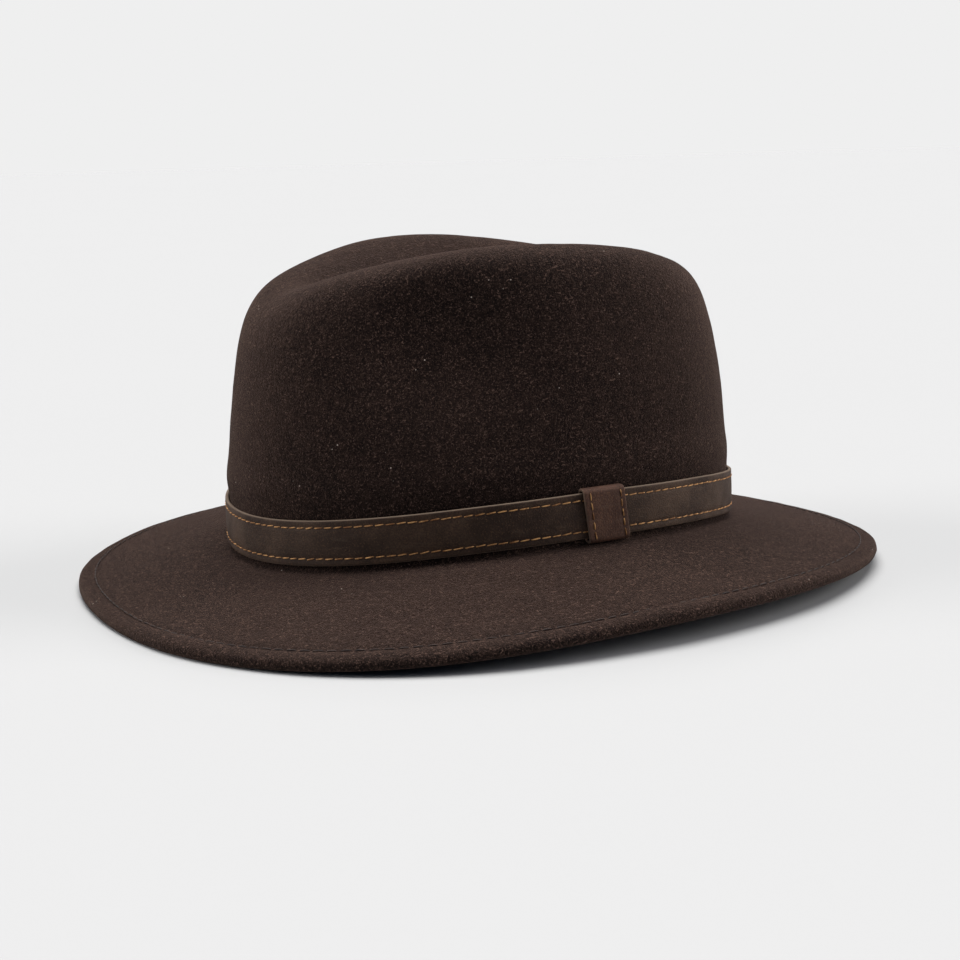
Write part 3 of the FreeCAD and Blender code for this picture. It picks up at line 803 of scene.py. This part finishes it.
def base_point(t, out, lift):
    """Point measured outwards from the felt's base oval and up from the break, leaning in."""
    return round_crown(t, out - lean_in(lift), lift)


def sweep(name, outline, place, count):
    """Closed ring: an outline of (out, lift) points carried round by a place function."""
    t = BACK_T + angles(count)
    points = np.stack([place(t, out, lift) for out, lift in outline], axis=1)
    return make_mesh(name, points.reshape(-1, 3), grid_faces(count, len(outline), True, True))


def hatband():
    outline = rounded_section(BAND_LEATHER, BAND_HEIGHT, BAND_ROUND, 4, 1, 26)
    lift = outline[:, 1]
    edge = np.clip(np.abs(lift) / (BAND_HEIGHT / 2.0), 0, 1)
    edge = np.clip((edge - BAND_RAW_EDGE) / BAND_RAW_FADE, 0.0, 1.0)
    face = outline[:, 0] > 0.0
    row = BAND_HEIGHT / 2.0 - BAND_THREAD_INSET
    sink = -BAND_GROOVE * np.exp(-((np.abs(lift) - row) / BAND_GROOVE_SPREAD) ** 2)
    pillow = BAND_PILLOW * np.cos(np.clip(lift / row, -1, 1) * np.pi / 2.0)
    outline = outline + np.stack([(sink + pillow) * face, 0.0 * lift], axis=1)
    outline = outline + [BAND_LEATHER / 2.0, BAND_HEIGHT / 2.0]
    piece = sweep("leather_hatband", outline, band_point, BAND_STEPS)
    set_attribute(piece, "edge", np.tile(edge, BAND_STEPS))
    dress(piece, BAND_LOOK, "hatband", "band_leather", "hatband_strap")


def arc_steps(place, out, lift, pitch):
    """Angles that lie an even distance apart along a curve, about the given pitch."""
    t = 2.0 * np.pi * np.arange(ARC_STEPS + 1) / ARC_STEPS
    run = distance_along(place(t, out, lift))
    count = int(round(run[-1] / pitch))
    return np.interp(np.arange(count) * run[-1] / count, run, t)


# Stations of a stitch: place along its length, rise and thickness, in radii of the thread.
STITCH_SHAPE = [(-0.50, -0.75, 0.35), (-0.46, -0.30, 0.75), (-0.36, 0.15, 0.95),
                (-0.18, 0.42, 1.00), (0.0, 0.50, 1.02), (0.18, 0.42, 1.00),
                (0.36, 0.15, 0.95), (0.46, -0.30, 0.75), (0.50, -0.75, 0.35)]
STITCH_SIDES = 8


def add_stitch(points, faces, middle, along, outward, length):
    """One stitch: a short thread that arches out of one hole and into the next."""
    along = along / np.linalg.norm(along)
    side = np.cross(outward, along)
    side /= np.linalg.norm(side)
    up = np.cross(along, side)
    start = len(points)
    rows = len(STITCH_SHAPE)
    for place, rise, thick in STITCH_SHAPE:
        centre = middle + along * (place * length) + up * (rise * THREAD_RADIUS)
        for k in range(STITCH_SIDES):
            a = 2.0 * math.pi * k / STITCH_SIDES
            offset = side * math.cos(a) + up * math.sin(a)
            points.append(centre + offset * THREAD_RADIUS * thick)
    faces += grid_faces(rows, STITCH_SIDES, close_columns=True, start=start)
    faces += [row_face(0, STITCH_SIDES, start),
              row_face(rows - 1, STITCH_SIDES, start, flip=True)]


def stitches_round(points, faces, place, out, lift, pitch, length, slant, away):
    """Row of separate stitches round the hat; away is the surface's outside, as (out, lift)."""
    for t in arc_steps(place, out, lift, pitch):
        here = place(np.array(t), out, lift)
        ahead = place(np.array(t + 0.001), out, lift)
        behind = place(np.array(t - 0.001), out, lift)
        outer = place(np.array(t), out + away[0], lift + away[1])
        along = (ahead - behind) / np.linalg.norm(ahead - behind)
        outward = outer - here
        outward -= along * (outward @ along)
        outward /= np.linalg.norm(outward)
        across = np.cross(outward, along)
        tilt = slant + random.normal(0.0, SLANT_SCATTER)
        shift = random.normal(0.0, PLACE_SCATTER)
        turned = along * math.cos(tilt) + across * math.sin(tilt)
        size = length * (1.0 + random.normal(0.0, LENGTH_SCATTER))
        add_stitch(points, faces, here + across * shift, turned, outward, size)


def thread_piece(name, rows, look, body, slot, node):
    """Piece made of rows of stitches, each row given by what stitches_round takes."""
    points = []
    faces = []
    for row in rows:
        stitches_round(points, faces, *row)
    dress(make_mesh(name, points, faces), look, body, slot, node)


def band_stitching():
    face = BAND_LEATHER - THREAD_SINK
    for name, lift, node in (("band_top_thread", BAND_HEIGHT - BAND_THREAD_INSET,
                              "hatband_top_stitching"),
                             ("band_bottom_thread", BAND_THREAD_INSET,
                              "hatband_bottom_stitching")):
        row = (band_point, face, lift, STITCH_PITCH, STITCH_LENGTH, BAND_SLANT, (1.0, 0.0))
        thread_piece(name, [row], TAN_THREAD_LOOK, "hatband", "tan_thread", node)


def brim_point(t, out, lift):
    """Point measured outwards from the brim's thread row and up from the brim's top."""
    points = brim_ring(t, 1.0 - (BRIM_THREAD_INSET - out) / BRIM_WIDTH, -lift)
    return points / [RING_SWELL, RING_SWELL, 1.0]


def brim_stitching():
    """Thread of the felt's own colour, sunk in its groove on both faces of the brim."""
    thick = FELT + UNDERWELT
    rows = [(brim_point, 0.0, lift, BRIM_STITCH_PITCH, BRIM_STITCH_LENGTH, BRIM_SLANT, (0.0, up))
            for lift, up in ((-THREAD_SINK, 1.0), (THREAD_SINK - thick, -1.0))]
    thread_piece("brim_edge_thread", rows, FELT_THREAD_LOOK, "hat", "felt_thread",
                 "brim_edge_stitching")


hatband()
band_stitching()
brim_stitching()


# ---- Keeper ----
def keeper_arc():
    """Axis point, radius, tilt and turn of the arc that the keeper slides along."""
    joint = next(j for j in frame["joints"] if j["name"] == "keeper_slide")
    axis = Vector(joint["axis"]).normalized()
    centre = np.array(joint["pos_m"]) / MM
    plan = oval(KEEPER_T, BASE_HALF_WIDTH + band_back(KEEPER_T),
                BASE_HALF_LENGTH + band_back(KEEPER_T), BASE_SQUARENESS)
    radius = math.hypot(plan[0] - centre[0], plan[1] - centre[1])
    tilt = math.atan2(-axis.y, axis.z)
    turn = math.atan2(plan[1] - centre[1], plan[0] - centre[0])
    turned = Matrix.Rotation(tilt, 3, "X") @ Matrix.Rotation(turn, 3, "Z")
    return centre, radius, np.array(turned)


KEEPER_CENTRE, KEEPER_RADIUS, KEEPER_TURN = keeper_arc()


def on_keeper(radius, across, lift):
    """Point on the keeper: distance from its axis, millimetres across its face, and height."""
    angle = (across - KEEPER_LEAN * lift) / (KEEPER_RADIUS + BAND_LEATHER)
    local = np.stack([radius * np.cos(angle), radius * np.sin(angle), lift + 0.0 * angle], -1)
    return local @ KEEPER_TURN.T + KEEPER_CENTRE


def keeper_outline(grow):
    """Path of the leather's middle round the band, as (radius, lift)."""
    inner = KEEPER_RADIUS - KEEPER_SIDE_GAP - grow
    outer = KEEPER_RADIUS + BAND_LEATHER + KEEPER_SIDE_GAP + grow
    half = BAND_HEIGHT / 2.0 + KEEPER_END_GAP + grow
    corner = min(KEEPER_CORNER + grow * 0.5, (outer - inner) / 2.01)
    outline = rounded_section(outer - inner, 2.0 * half, corner, 7, 2, 30)
    return outline + [(outer + inner) / 2.0, 0.0]


def keeper():
    path = keeper_outline(KEEPER_LEATHER / 2.0)
    ahead = unit(steps_round(path, 0))
    outward = np.stack([ahead[:, 1], -ahead[:, 0]], axis=1)
    sheet = rounded_section(KEEPER_WIDTH, KEEPER_LEATHER, KEEPER_ROUND, 4, 26, 1)
    row = KEEPER_WIDTH / 2.0 - KEEPER_GROOVE_INSET
    across = sheet[:, 0]
    outer_face = sheet[:, 1] > 0.0
    sink = np.exp(-((np.abs(across) - row) / KEEPER_GROOVE_SPREAD) ** 2)
    sink *= -KEEPER_GROOVE * outer_face
    edge = np.abs(across) / (KEEPER_WIDTH / 2.0) - KEEPER_RAW_EDGE
    edge = np.clip(edge / KEEPER_RAW_FADE, 0.0, 1.0)
    points = []
    for spot, out in zip(path, outward):
        depth = sheet[:, 1] + sink * (abs(out[0]) > KEEPER_FACE)
        points.append(on_keeper(spot[0] + out[0] * depth, across, spot[1] + out[1] * depth))
    points = np.concatenate(points)
    faces = grid_faces(len(path), len(sheet), True, True, flip=True)
    piece = make_mesh("leather_keeper", points, faces)
    set_attribute(piece, "edge", np.tile(edge, len(path)))
    dress(piece, KEEPER_LOOK, "keeper", "keeper_leather", "keeper_loop")


def keeper_stitching():
    points = []
    faces = []
    face = KEEPER_RADIUS + BAND_LEATHER + KEEPER_SIDE_GAP + KEEPER_LEATHER - KEEPER_THREAD_SINK
    half = BAND_HEIGHT / 2.0 + KEEPER_END_GAP
    pitch = 2.0 * half / KEEPER_STITCHES
    width = KEEPER_WIDTH / 2.0
    for across in (KEEPER_FRONT_INSET - width, width - KEEPER_BACK_INSET):
        for k in range(KEEPER_STITCHES):
            lift = -half + pitch * (k + 0.5)
            shift = random.normal(0.0, KEEPER_SCATTER)
            middle = on_keeper(face, np.array(across + shift), lift)
            above = on_keeper(face, np.array(across), lift + 1.0)
            outer = on_keeper(face + 1.0, np.array(across), lift)
            add_stitch(points, faces, middle, above - middle, outer - middle,
                       pitch * KEEPER_STITCH)
    piece = make_mesh("keeper_thread", points, faces)
    dress(piece, TAN_THREAD_LOOK, "keeper", "tan_thread", "keeper_stitching")


keeper()
keeper_stitching()


# ---- Sweatband ----
def sweatband_point(t, out, lift):
    """Point of the sweatband; its free top edge waves a little towards the head."""
    wave = 1.0 + np.sin(9.0 * t + 1.1 * np.sin(4.0 * t))
    ripple = SWEATBAND_RIPPLE * wave * np.maximum(lift / SWEATBAND_HEIGHT, 0.0) ** 2
    return base_point(t, out - ripple, lift)


def sweatband():
    """Leather strip, open by a hair at the back where its two ends are sewn together."""
    outline = rounded_section(SWEATBAND_LEATHER, SWEATBAND_HEIGHT, SWEATBAND_ROUND, 4, 1, 26)
    row = SWEATBAND_THREAD_HEIGHT - SWEATBAND_LOW - SWEATBAND_HEIGHT / 2.0
    sink = SWEATBAND_GROOVE * np.exp(-((outline[:, 1] - row) / SWEATBAND_GROOVE_SPREAD) ** 2)
    outline[:, 0] += sink * (outline[:, 0] < 0.0)
    outline += [-SWEATBAND_INSET - SWEATBAND_LEATHER / 2.0, SWEATBAND_LOW + SWEATBAND_HEIGHT / 2.0]
    gap = SEAM_OPEN / 2.0 / BASE_HALF_WIDTH
    t = BACK_T + np.linspace(gap, 2.0 * np.pi - gap, SWEATBAND_STEPS)
    points = np.stack([sweatband_point(t, out, lift) for out, lift in outline], axis=1)
    faces = grid_faces(SWEATBAND_STEPS, len(outline), close_columns=True)
    faces += [row_face(0, len(outline), flip=True), row_face(SWEATBAND_STEPS - 1, len(outline))]
    piece = make_mesh("leather_sweatband", points.reshape(-1, 3), faces)
    dress(piece, SWEATBAND_LOOK, "hat", "sweatband_leather", "sweatband")


def sweatband_stitching():
    face = -SWEATBAND_INSET - SWEATBAND_LEATHER + SWEATBAND_THREAD_SINK
    row = (sweatband_point, face, SWEATBAND_THREAD_HEIGHT, SWEATBAND_STITCH_PITCH,
           SWEATBAND_STITCH_LENGTH, SWEATBAND_SLANT, (-1.0, 0.0))
    thread_piece("sweatband_thread", [row], FELT_THREAD_LOOK, "hat", "felt_thread",
                 "sweatband_stitching")


def cord_section(thickness):
    """Round outline; the hair off its radius leaves every point its own place."""
    return rounded_section(thickness, thickness, thickness / 2.0 - 0.01, 5)


REED_OUT = -SWEATBAND_INSET + REED_GAP - REED / 2.0
REED_LIFT = SWEATBAND_LOW - REED_GAP - REED / 2.0
REED_SLIM = 0.9  # part of the CAD's thickness that the cord fills
PIPING_SLIM = 0.94


def sweatband_reed():
    outline = cord_section(REED) * REED_SLIM + [REED_OUT, REED_LIFT]
    piece = sweep("reed_cord", outline, base_point, CORD_STEPS)
    dress(piece, REED_LOOK, "hat", "reed_plastic", "sweatband_reed")


def strip_outline(path, thickness):
    """Closed outline of a strip of even thickness along a path of (out, lift) points."""
    path = np.array(path)
    ahead = unit(np.gradient(path, axis=0))
    side = np.stack([-ahead[:, 1], ahead[:, 0]], axis=1) * thickness / 2.0
    return np.concatenate([path + side, (path - side)[::-1]])


def mark_weave(piece, run, rise):
    """Gives a piece its "run" along the cloth and "rise" across it, in metres."""
    set_attribute(piece, "run", run)
    set_attribute(piece, "rise", rise)


def run_round(count):
    """Distance round the hat, in metres, at even steps."""
    return np.arange(count) * 2.0 * np.pi * BASE_HALF_LENGTH / count * MM


def swept_weave(count, outline):
    """Run round the hat and rise along the outline, for a swept piece."""
    rise = distance_along(outline) * MM
    return np.repeat(run_round(count), len(outline)), np.tile(rise, count)


def sweatband_tape():
    """Grosgrain tape that wraps the reed and joins it to the leather and the felt."""
    wrap = REED / 2.0 + TAPE / 2.0 + TAPE_SLACK
    path = [(-TAPE_INSET - TAPE, lift) for lift in TAPE_LIFTS]
    for step in range(13):
        a = math.radians(20.0 - 200.0 * step / 12.0)
        path.append((REED_OUT + wrap * math.cos(a), REED_LIFT + wrap * math.sin(a)))
    outline = strip_outline(path, TAPE)
    piece = sweep("reed_tape", outline, base_point, SWEATBAND_STEPS)
    mark_weave(piece, *swept_weave(SWEATBAND_STEPS, outline))
    dress(piece, GROSGRAIN_LOOK, "hat", "grosgrain", "sweatband_tape")


def inside_point(middle, along, depth, lift):
    """Point off the sweatband's inner face: millimetres along it, off it and above the break."""
    t = middle + np.asarray(along) / BASE_HALF_WIDTH
    out = -SWEATBAND_INSET - SWEATBAND_LEATHER - depth
    return base_point(t, out, lift)


def back_seam():
    """Cross stitches that draw the sweatband's ends together."""
    points = []
    faces = []
    for row in range(SEAM_ROWS):
        lift = SEAM_LOW + SEAM_PITCH * row + SEAM_STITCH_HEIGHT / 2.0
        middle = inside_point(BACK_T, 0.0, SEAM_RISE, lift)
        along = inside_point(BACK_T, 1.0, SEAM_RISE, lift) - middle
        up = inside_point(BACK_T, 0.0, SEAM_RISE, lift + 1.0) - middle
        inward = inside_point(BACK_T, 0.0, SEAM_RISE + 1.0, lift) - middle
        for lean in (-SEAM_LEAN, SEAM_LEAN):
            add_stitch(points, faces, middle, along + up * lean, inward, 2.2 * SEAM_HALF_WIDTH)
    piece = make_mesh("back_seam_thread", points, faces)
    dress(piece, TAN_THREAD_LOOK, "hat", "tan_thread", "sweatband_back_seam")


def ribbon_round(points, faces, run, rise, path, half_heights, middle_lift):
    """Closed band of ribbon along a path of (along, depth) points at the hat's back."""
    path = np.array(path)
    ahead = unit(steps_round(path, 0))
    start = sum(len(group) for group in points)
    for spot, turn, half, distance in zip(path, ahead, half_heights, distance_along(path)):
        section = rounded_section(2.0 * half, RIBBON, RIBBON / 2.2, 2, 8, 1)
        points.append(inside_point(BACK_T, spot[0] + turn[1] * section[:, 1],
                                   spot[1] - turn[0] * section[:, 1],
                                   middle_lift + section[:, 0]))
        run.append(np.full(len(section), distance * MM))
        rise.append(section[:, 0] * MM)
    faces += grid_faces(len(path), len(points[-1]), True, True, start=start)


def sweatband_bow():
    """Two flattened ribbon loops gathered under a wrapped knot."""
    points = []
    faces = []
    run = []
    rise = []
    middle = (BOW_LOW + BOW_HIGH) / 2.0
    half = (BOW_HIGH - BOW_LOW) / 2.0
    turns = np.linspace(0.0, 2.0 * np.pi, 33)[:-1]
    reach = (1.0 - np.cos(turns)) / 2.0
    for side in (-1.0, 1.0):
        along = side * (BOW_PINCH + (BOW_HALF_WIDTH - BOW_PINCH) * reach)
        swell = (BOW_THICKNESS - RIBBON) / 2.0 * np.sqrt(np.clip(reach, 0.0, 1.0))
        depth = BOW_CLEARANCE + BOW_THICKNESS / 2.0 - swell * np.sin(turns) * side
        opening = np.clip(reach * BOW_OPENING, 0.0, 1.0)
        ribbon_round(points, faces, run, rise, np.stack([along, depth], axis=1),
                     half * (BOW_GATHER + (1.0 - BOW_GATHER) * opening), middle)
    knot = np.stack([KNOT_HALF_WIDTH * np.cos(turns),
                     BOW_CLEARANCE + KNOT_THICKNESS / 2.0
                     + (KNOT_THICKNESS - RIBBON) / 2.0 * np.sin(turns)], axis=1)
    ribbon_round(points, faces, run, rise, knot[::-1],
                 (KNOT_HIGH - KNOT_LOW) / 2.0 + KNOT_WAVE * np.sin(3.0 * turns), middle)
    piece = make_mesh("ribbon_bow", np.concatenate(points), faces)
    mark_weave(piece, np.concatenate(run), np.concatenate(rise))
    dress(piece, GROSGRAIN_LOOK, "hat", "grosgrain", "sweatband_bow")


def size_label():
    """Blank woven label, slightly bowed, tacked to the sweatband by its edges."""
    section = rounded_section(LABEL_HEIGHT, LABEL_CLOTH, LABEL_ROUND, 2, 12, 1)
    columns = np.linspace(-1.0, 1.0, 21)
    points = []
    for f in columns:
        bow = LABEL_BOW * (1.0 - f * f)
        points.append(inside_point(math.radians(LABEL_ANGLE), f * LABEL_WIDTH / 2.0,
                                   PATCH_GAP + LABEL_CLOTH / 2.0 + bow + section[:, 1],
                                   LABEL_LOW + LABEL_HEIGHT / 2.0 + section[:, 0]))
    count = len(section)
    faces = grid_faces(len(columns), count, close_columns=True, flip=True)
    faces += [row_face(0, count), row_face(len(columns) - 1, count, flip=True)]
    piece = make_mesh("woven_label", np.concatenate(points), faces)
    mark_weave(piece, np.repeat(columns * LABEL_WIDTH / 2.0 * MM, count),
               np.tile(section[:, 0] * MM, len(columns)))
    dress(piece, LABEL_LOOK, "hat", "label_cloth", "size_label")


sweatband()
sweatband_stitching()
sweatband_reed()
sweatband_tape()
back_seam()
sweatband_bow()
size_label()


# ---- Lining ----
def tip_point(t, grow, height):
    """Point on the lining tip's oval, grown outwards, at a height above the table."""
    x, y = oval(t, TIP_HALF_WIDTH + grow, TIP_HALF_LENGTH + grow)
    return ring(x, y, height)


def lining_point(t, climb):
    """Point of the lining's side; climb is 0 at its foot, 1 at its knee and 2 at the tip."""
    foot = base_point(t, lean_in(LINING_FOOT) - LINING_INSET - SATIN / 2.0, LINING_FOOT)
    knee = base_point(t, lean_in(LINING_KNEE) - LINING_KNEE_INSET - SATIN / 2.0, LINING_KNEE)
    top = tip_point(t, -SATIN, BREAK_HEIGHT + LINING_TOP)
    if climb < 1.0:
        return foot + (knee - foot) * climb
    rise = climb - 1.0
    folds = 1.0 + np.sin(PLEATS * t + 0.8 * np.sin(5.0 * t))
    gather = PLEAT_DEPTH * rise ** 1.5 * (1.0 - rise) ** 0.6 * folds
    flat = knee + (top - knee) * rise
    inward = np.stack([np.cos(t), np.sin(t), 0.0 * t], axis=-1)
    return flat - inward * gather[:, None]


CLIMB_LENGTH = 0.04  # metres of cloth in one unit of climb


def lining_side():
    """Satin sleeve, gathered to the tip's smaller oval."""
    t = BACK_T + angles(LINING_STEPS)
    climbs = np.concatenate([np.linspace(0.0, 1.0, 7), np.linspace(1.06, 2.0, 18)])
    points = np.stack([lining_point(t, climb) for climb in climbs])
    normal = unit(np.cross(steps_round(points, 1), np.gradient(points, axis=0)))
    half = normal * SATIN / 2.0
    skin = np.concatenate([points - half, (points + half)[::-1]])
    faces = grid_faces(len(skin), LINING_STEPS, True, True)
    piece = make_mesh("satin_lining_side", skin.reshape(-1, 3), faces)
    rise = np.concatenate([climbs, climbs[::-1]]) * CLIMB_LENGTH
    mark_weave(piece, np.tile(run_round(LINING_STEPS), len(skin)), np.repeat(rise, LINING_STEPS))
    return dress(piece, SATIN_LOOK, "hat", "satin", "lining_side")


def lining_tip():
    """Satin oval that sags a little in its middle."""
    t = angles(TIP_STEPS)
    low = BREAK_HEIGHT + LINING_TOP + TIP_GAP
    rings = []
    for face, grows in ((0.0, np.linspace(1.0, TIP_HOLE, TIP_ROWS)),
                        (SATIN, np.linspace(TIP_HOLE, 1.0, TIP_ROWS))):
        for size in grows:
            x, y = oval(t, (TIP_HALF_WIDTH - SATIN) * size, (TIP_HALF_LENGTH - SATIN) * size)
            flat = ring(x, y, low + face)
            crumple = TIP_CRUMPLE * smooth_noise(flat, TIP_CRUMPLE_SIZE, 11, 2) - TIP_SAG
            flat[:, 2] += crumple * (1.0 - size ** 2)
            rings.append(flat)
    points = np.concatenate(rings)
    faces = grid_faces(len(rings), TIP_STEPS, close_rows=True, close_columns=True)
    faces = [face for face in faces if face[0] // TIP_STEPS != TIP_ROWS - 1]
    faces += [row_face(TIP_ROWS - 1, TIP_STEPS), row_face(TIP_ROWS, TIP_STEPS, flip=True)]
    piece = make_mesh("satin_lining_tip", points, faces)
    mark_weave(piece, points[:, 0] * MM, points[:, 1] * MM)
    return dress(piece, SATIN_LOOK, "hat", "satin", "lining_tip")


def lining_piping():
    middle = PIPING / 2.0 + TIP_GAP / 2.0
    low = BREAK_HEIGHT + LINING_TOP + TIP_GAP + PIPING / 2.0
    outline = cord_section(PIPING)
    piece = sweep("piping_cord", outline * PIPING_SLIM + [middle, low], tip_point, CORD_STEPS)
    mark_weave(piece, *swept_weave(CORD_STEPS, outline))
    dress(piece, GROSGRAIN_LOOK, "hat", "grosgrain", "lining_piping")


lining_side()
lining_tip()
lining_piping()


# ---- Camera, light and floor ----
LENS = 66.2
CAMERA_PLACE = (0.664, -0.3133, 0.17233)  # metres
CAMERA_TARGET = (-0.00016, -0.00047, 0.03653)
CAMERA_ROLL = -1.70  # degrees
# Name, degrees round and up, spread, power and tint.
SUNS = [
    ("top_light", 150.0, 74.0, 60.0, 5.6, (1.0, 0.97, 0.94)),
    ("left_light", -112.0, 24.0, 36.0, 1.8, (1.0, 0.95, 0.91)),
    ("right_light", 66.0, 24.0, 36.0, 2.0, (1.0, 0.95, 0.92)),
]
BACKDROP = (239, 239, 239)
SKY_TINT = (0.40, 0.62, 1.0, 1.0)
SKY_LIGHT = 0.11
FLOOR_TONE_A = (0.381, 0.389, 0.395, 1.0)
FLOOR_TONE_B = (0.385, 0.393, 0.399, 1.0)
FLOOR_RADIUS = 40000.0
FLOOR_SIDES = 96


def aim(thing, target, roll=0.0):
    direction = Vector(target) - thing.location
    turn = direction.to_track_quat("-Z", "Y").to_matrix().to_4x4()
    turn = turn @ Matrix.Rotation(roll, 4, "Z")
    thing.rotation_euler = turn.to_euler()


def camera():
    lens = bpy.data.cameras.new("camera")
    lens.lens = LENS
    lens.sensor_width = 36.0
    seen = bpy.data.objects.new("camera", lens)
    seen.location = CAMERA_PLACE
    aim(seen, CAMERA_TARGET, math.radians(CAMERA_ROLL))
    bpy.context.scene.collection.objects.link(seen)
    bpy.context.scene.camera = seen


def sun(name, azimuth, elevation, spread, power, tint):
    """Soft distant light; azimuth is where it stands, in degrees from the wearer's left."""
    lamp = bpy.data.lights.new(name, "SUN")
    lamp.angle = math.radians(spread)
    lamp.energy = power
    lamp.color = tint
    made = bpy.data.objects.new(name, lamp)
    a = math.radians(azimuth)
    e = math.radians(elevation)
    made.location = (math.cos(a) * math.cos(e), math.sin(a) * math.cos(e), math.sin(e))
    aim(made, (0.0, 0.0, 0.0))
    bpy.context.scene.collection.objects.link(made)


def sky():
    """Pale backdrop as the camera sees it, and a dimmer, cooler one as light."""
    world = bpy.data.worlds.new("studio")
    world.use_nodes = True
    tree = world.node_tree
    shown = tree.nodes["Background"]
    shown.inputs["Color"].default_value = srgb(*BACKDROP)
    lit = tree.nodes.new("ShaderNodeBackground")
    lit.inputs["Color"].default_value = SKY_TINT
    lit.inputs["Strength"].default_value = SKY_LIGHT
    ray = tree.nodes.new("ShaderNodeLightPath")
    mix = tree.nodes.new("ShaderNodeMixShader")
    tree.links.new(ray.outputs["Is Camera Ray"], mix.inputs[0])
    tree.links.new(lit.outputs[0], mix.inputs[1])
    tree.links.new(shown.outputs[0], mix.inputs[2])
    tree.links.new(mix.outputs[0], tree.nodes["World Output"].inputs["Surface"])
    bpy.context.scene.world = world


def floor():
    n = Nodes("floor_paint")
    look = n.finish(Base_Color=n.mix(n.noise(3.0, 2.0), FLOOR_TONE_A, FLOOR_TONE_B),
                    Roughness=0.9, Specular_IOR_Level=0.0)
    turns = [2.0 * math.pi * k / FLOOR_SIDES for k in range(FLOOR_SIDES)]
    points = [(FLOOR_RADIUS * math.cos(a), FLOOR_RADIUS * math.sin(a), 0.0) for a in turns]
    made = make_mesh("floor", points, [row_face(0, FLOOR_SIDES)], smooth=False)
    made.data.materials.append(look)


def studio():
    for light in SUNS:
        sun(*light)
    sky()
    floor()
    bpy.context.scene.view_settings.view_transform = "Standard"


camera()
studio()
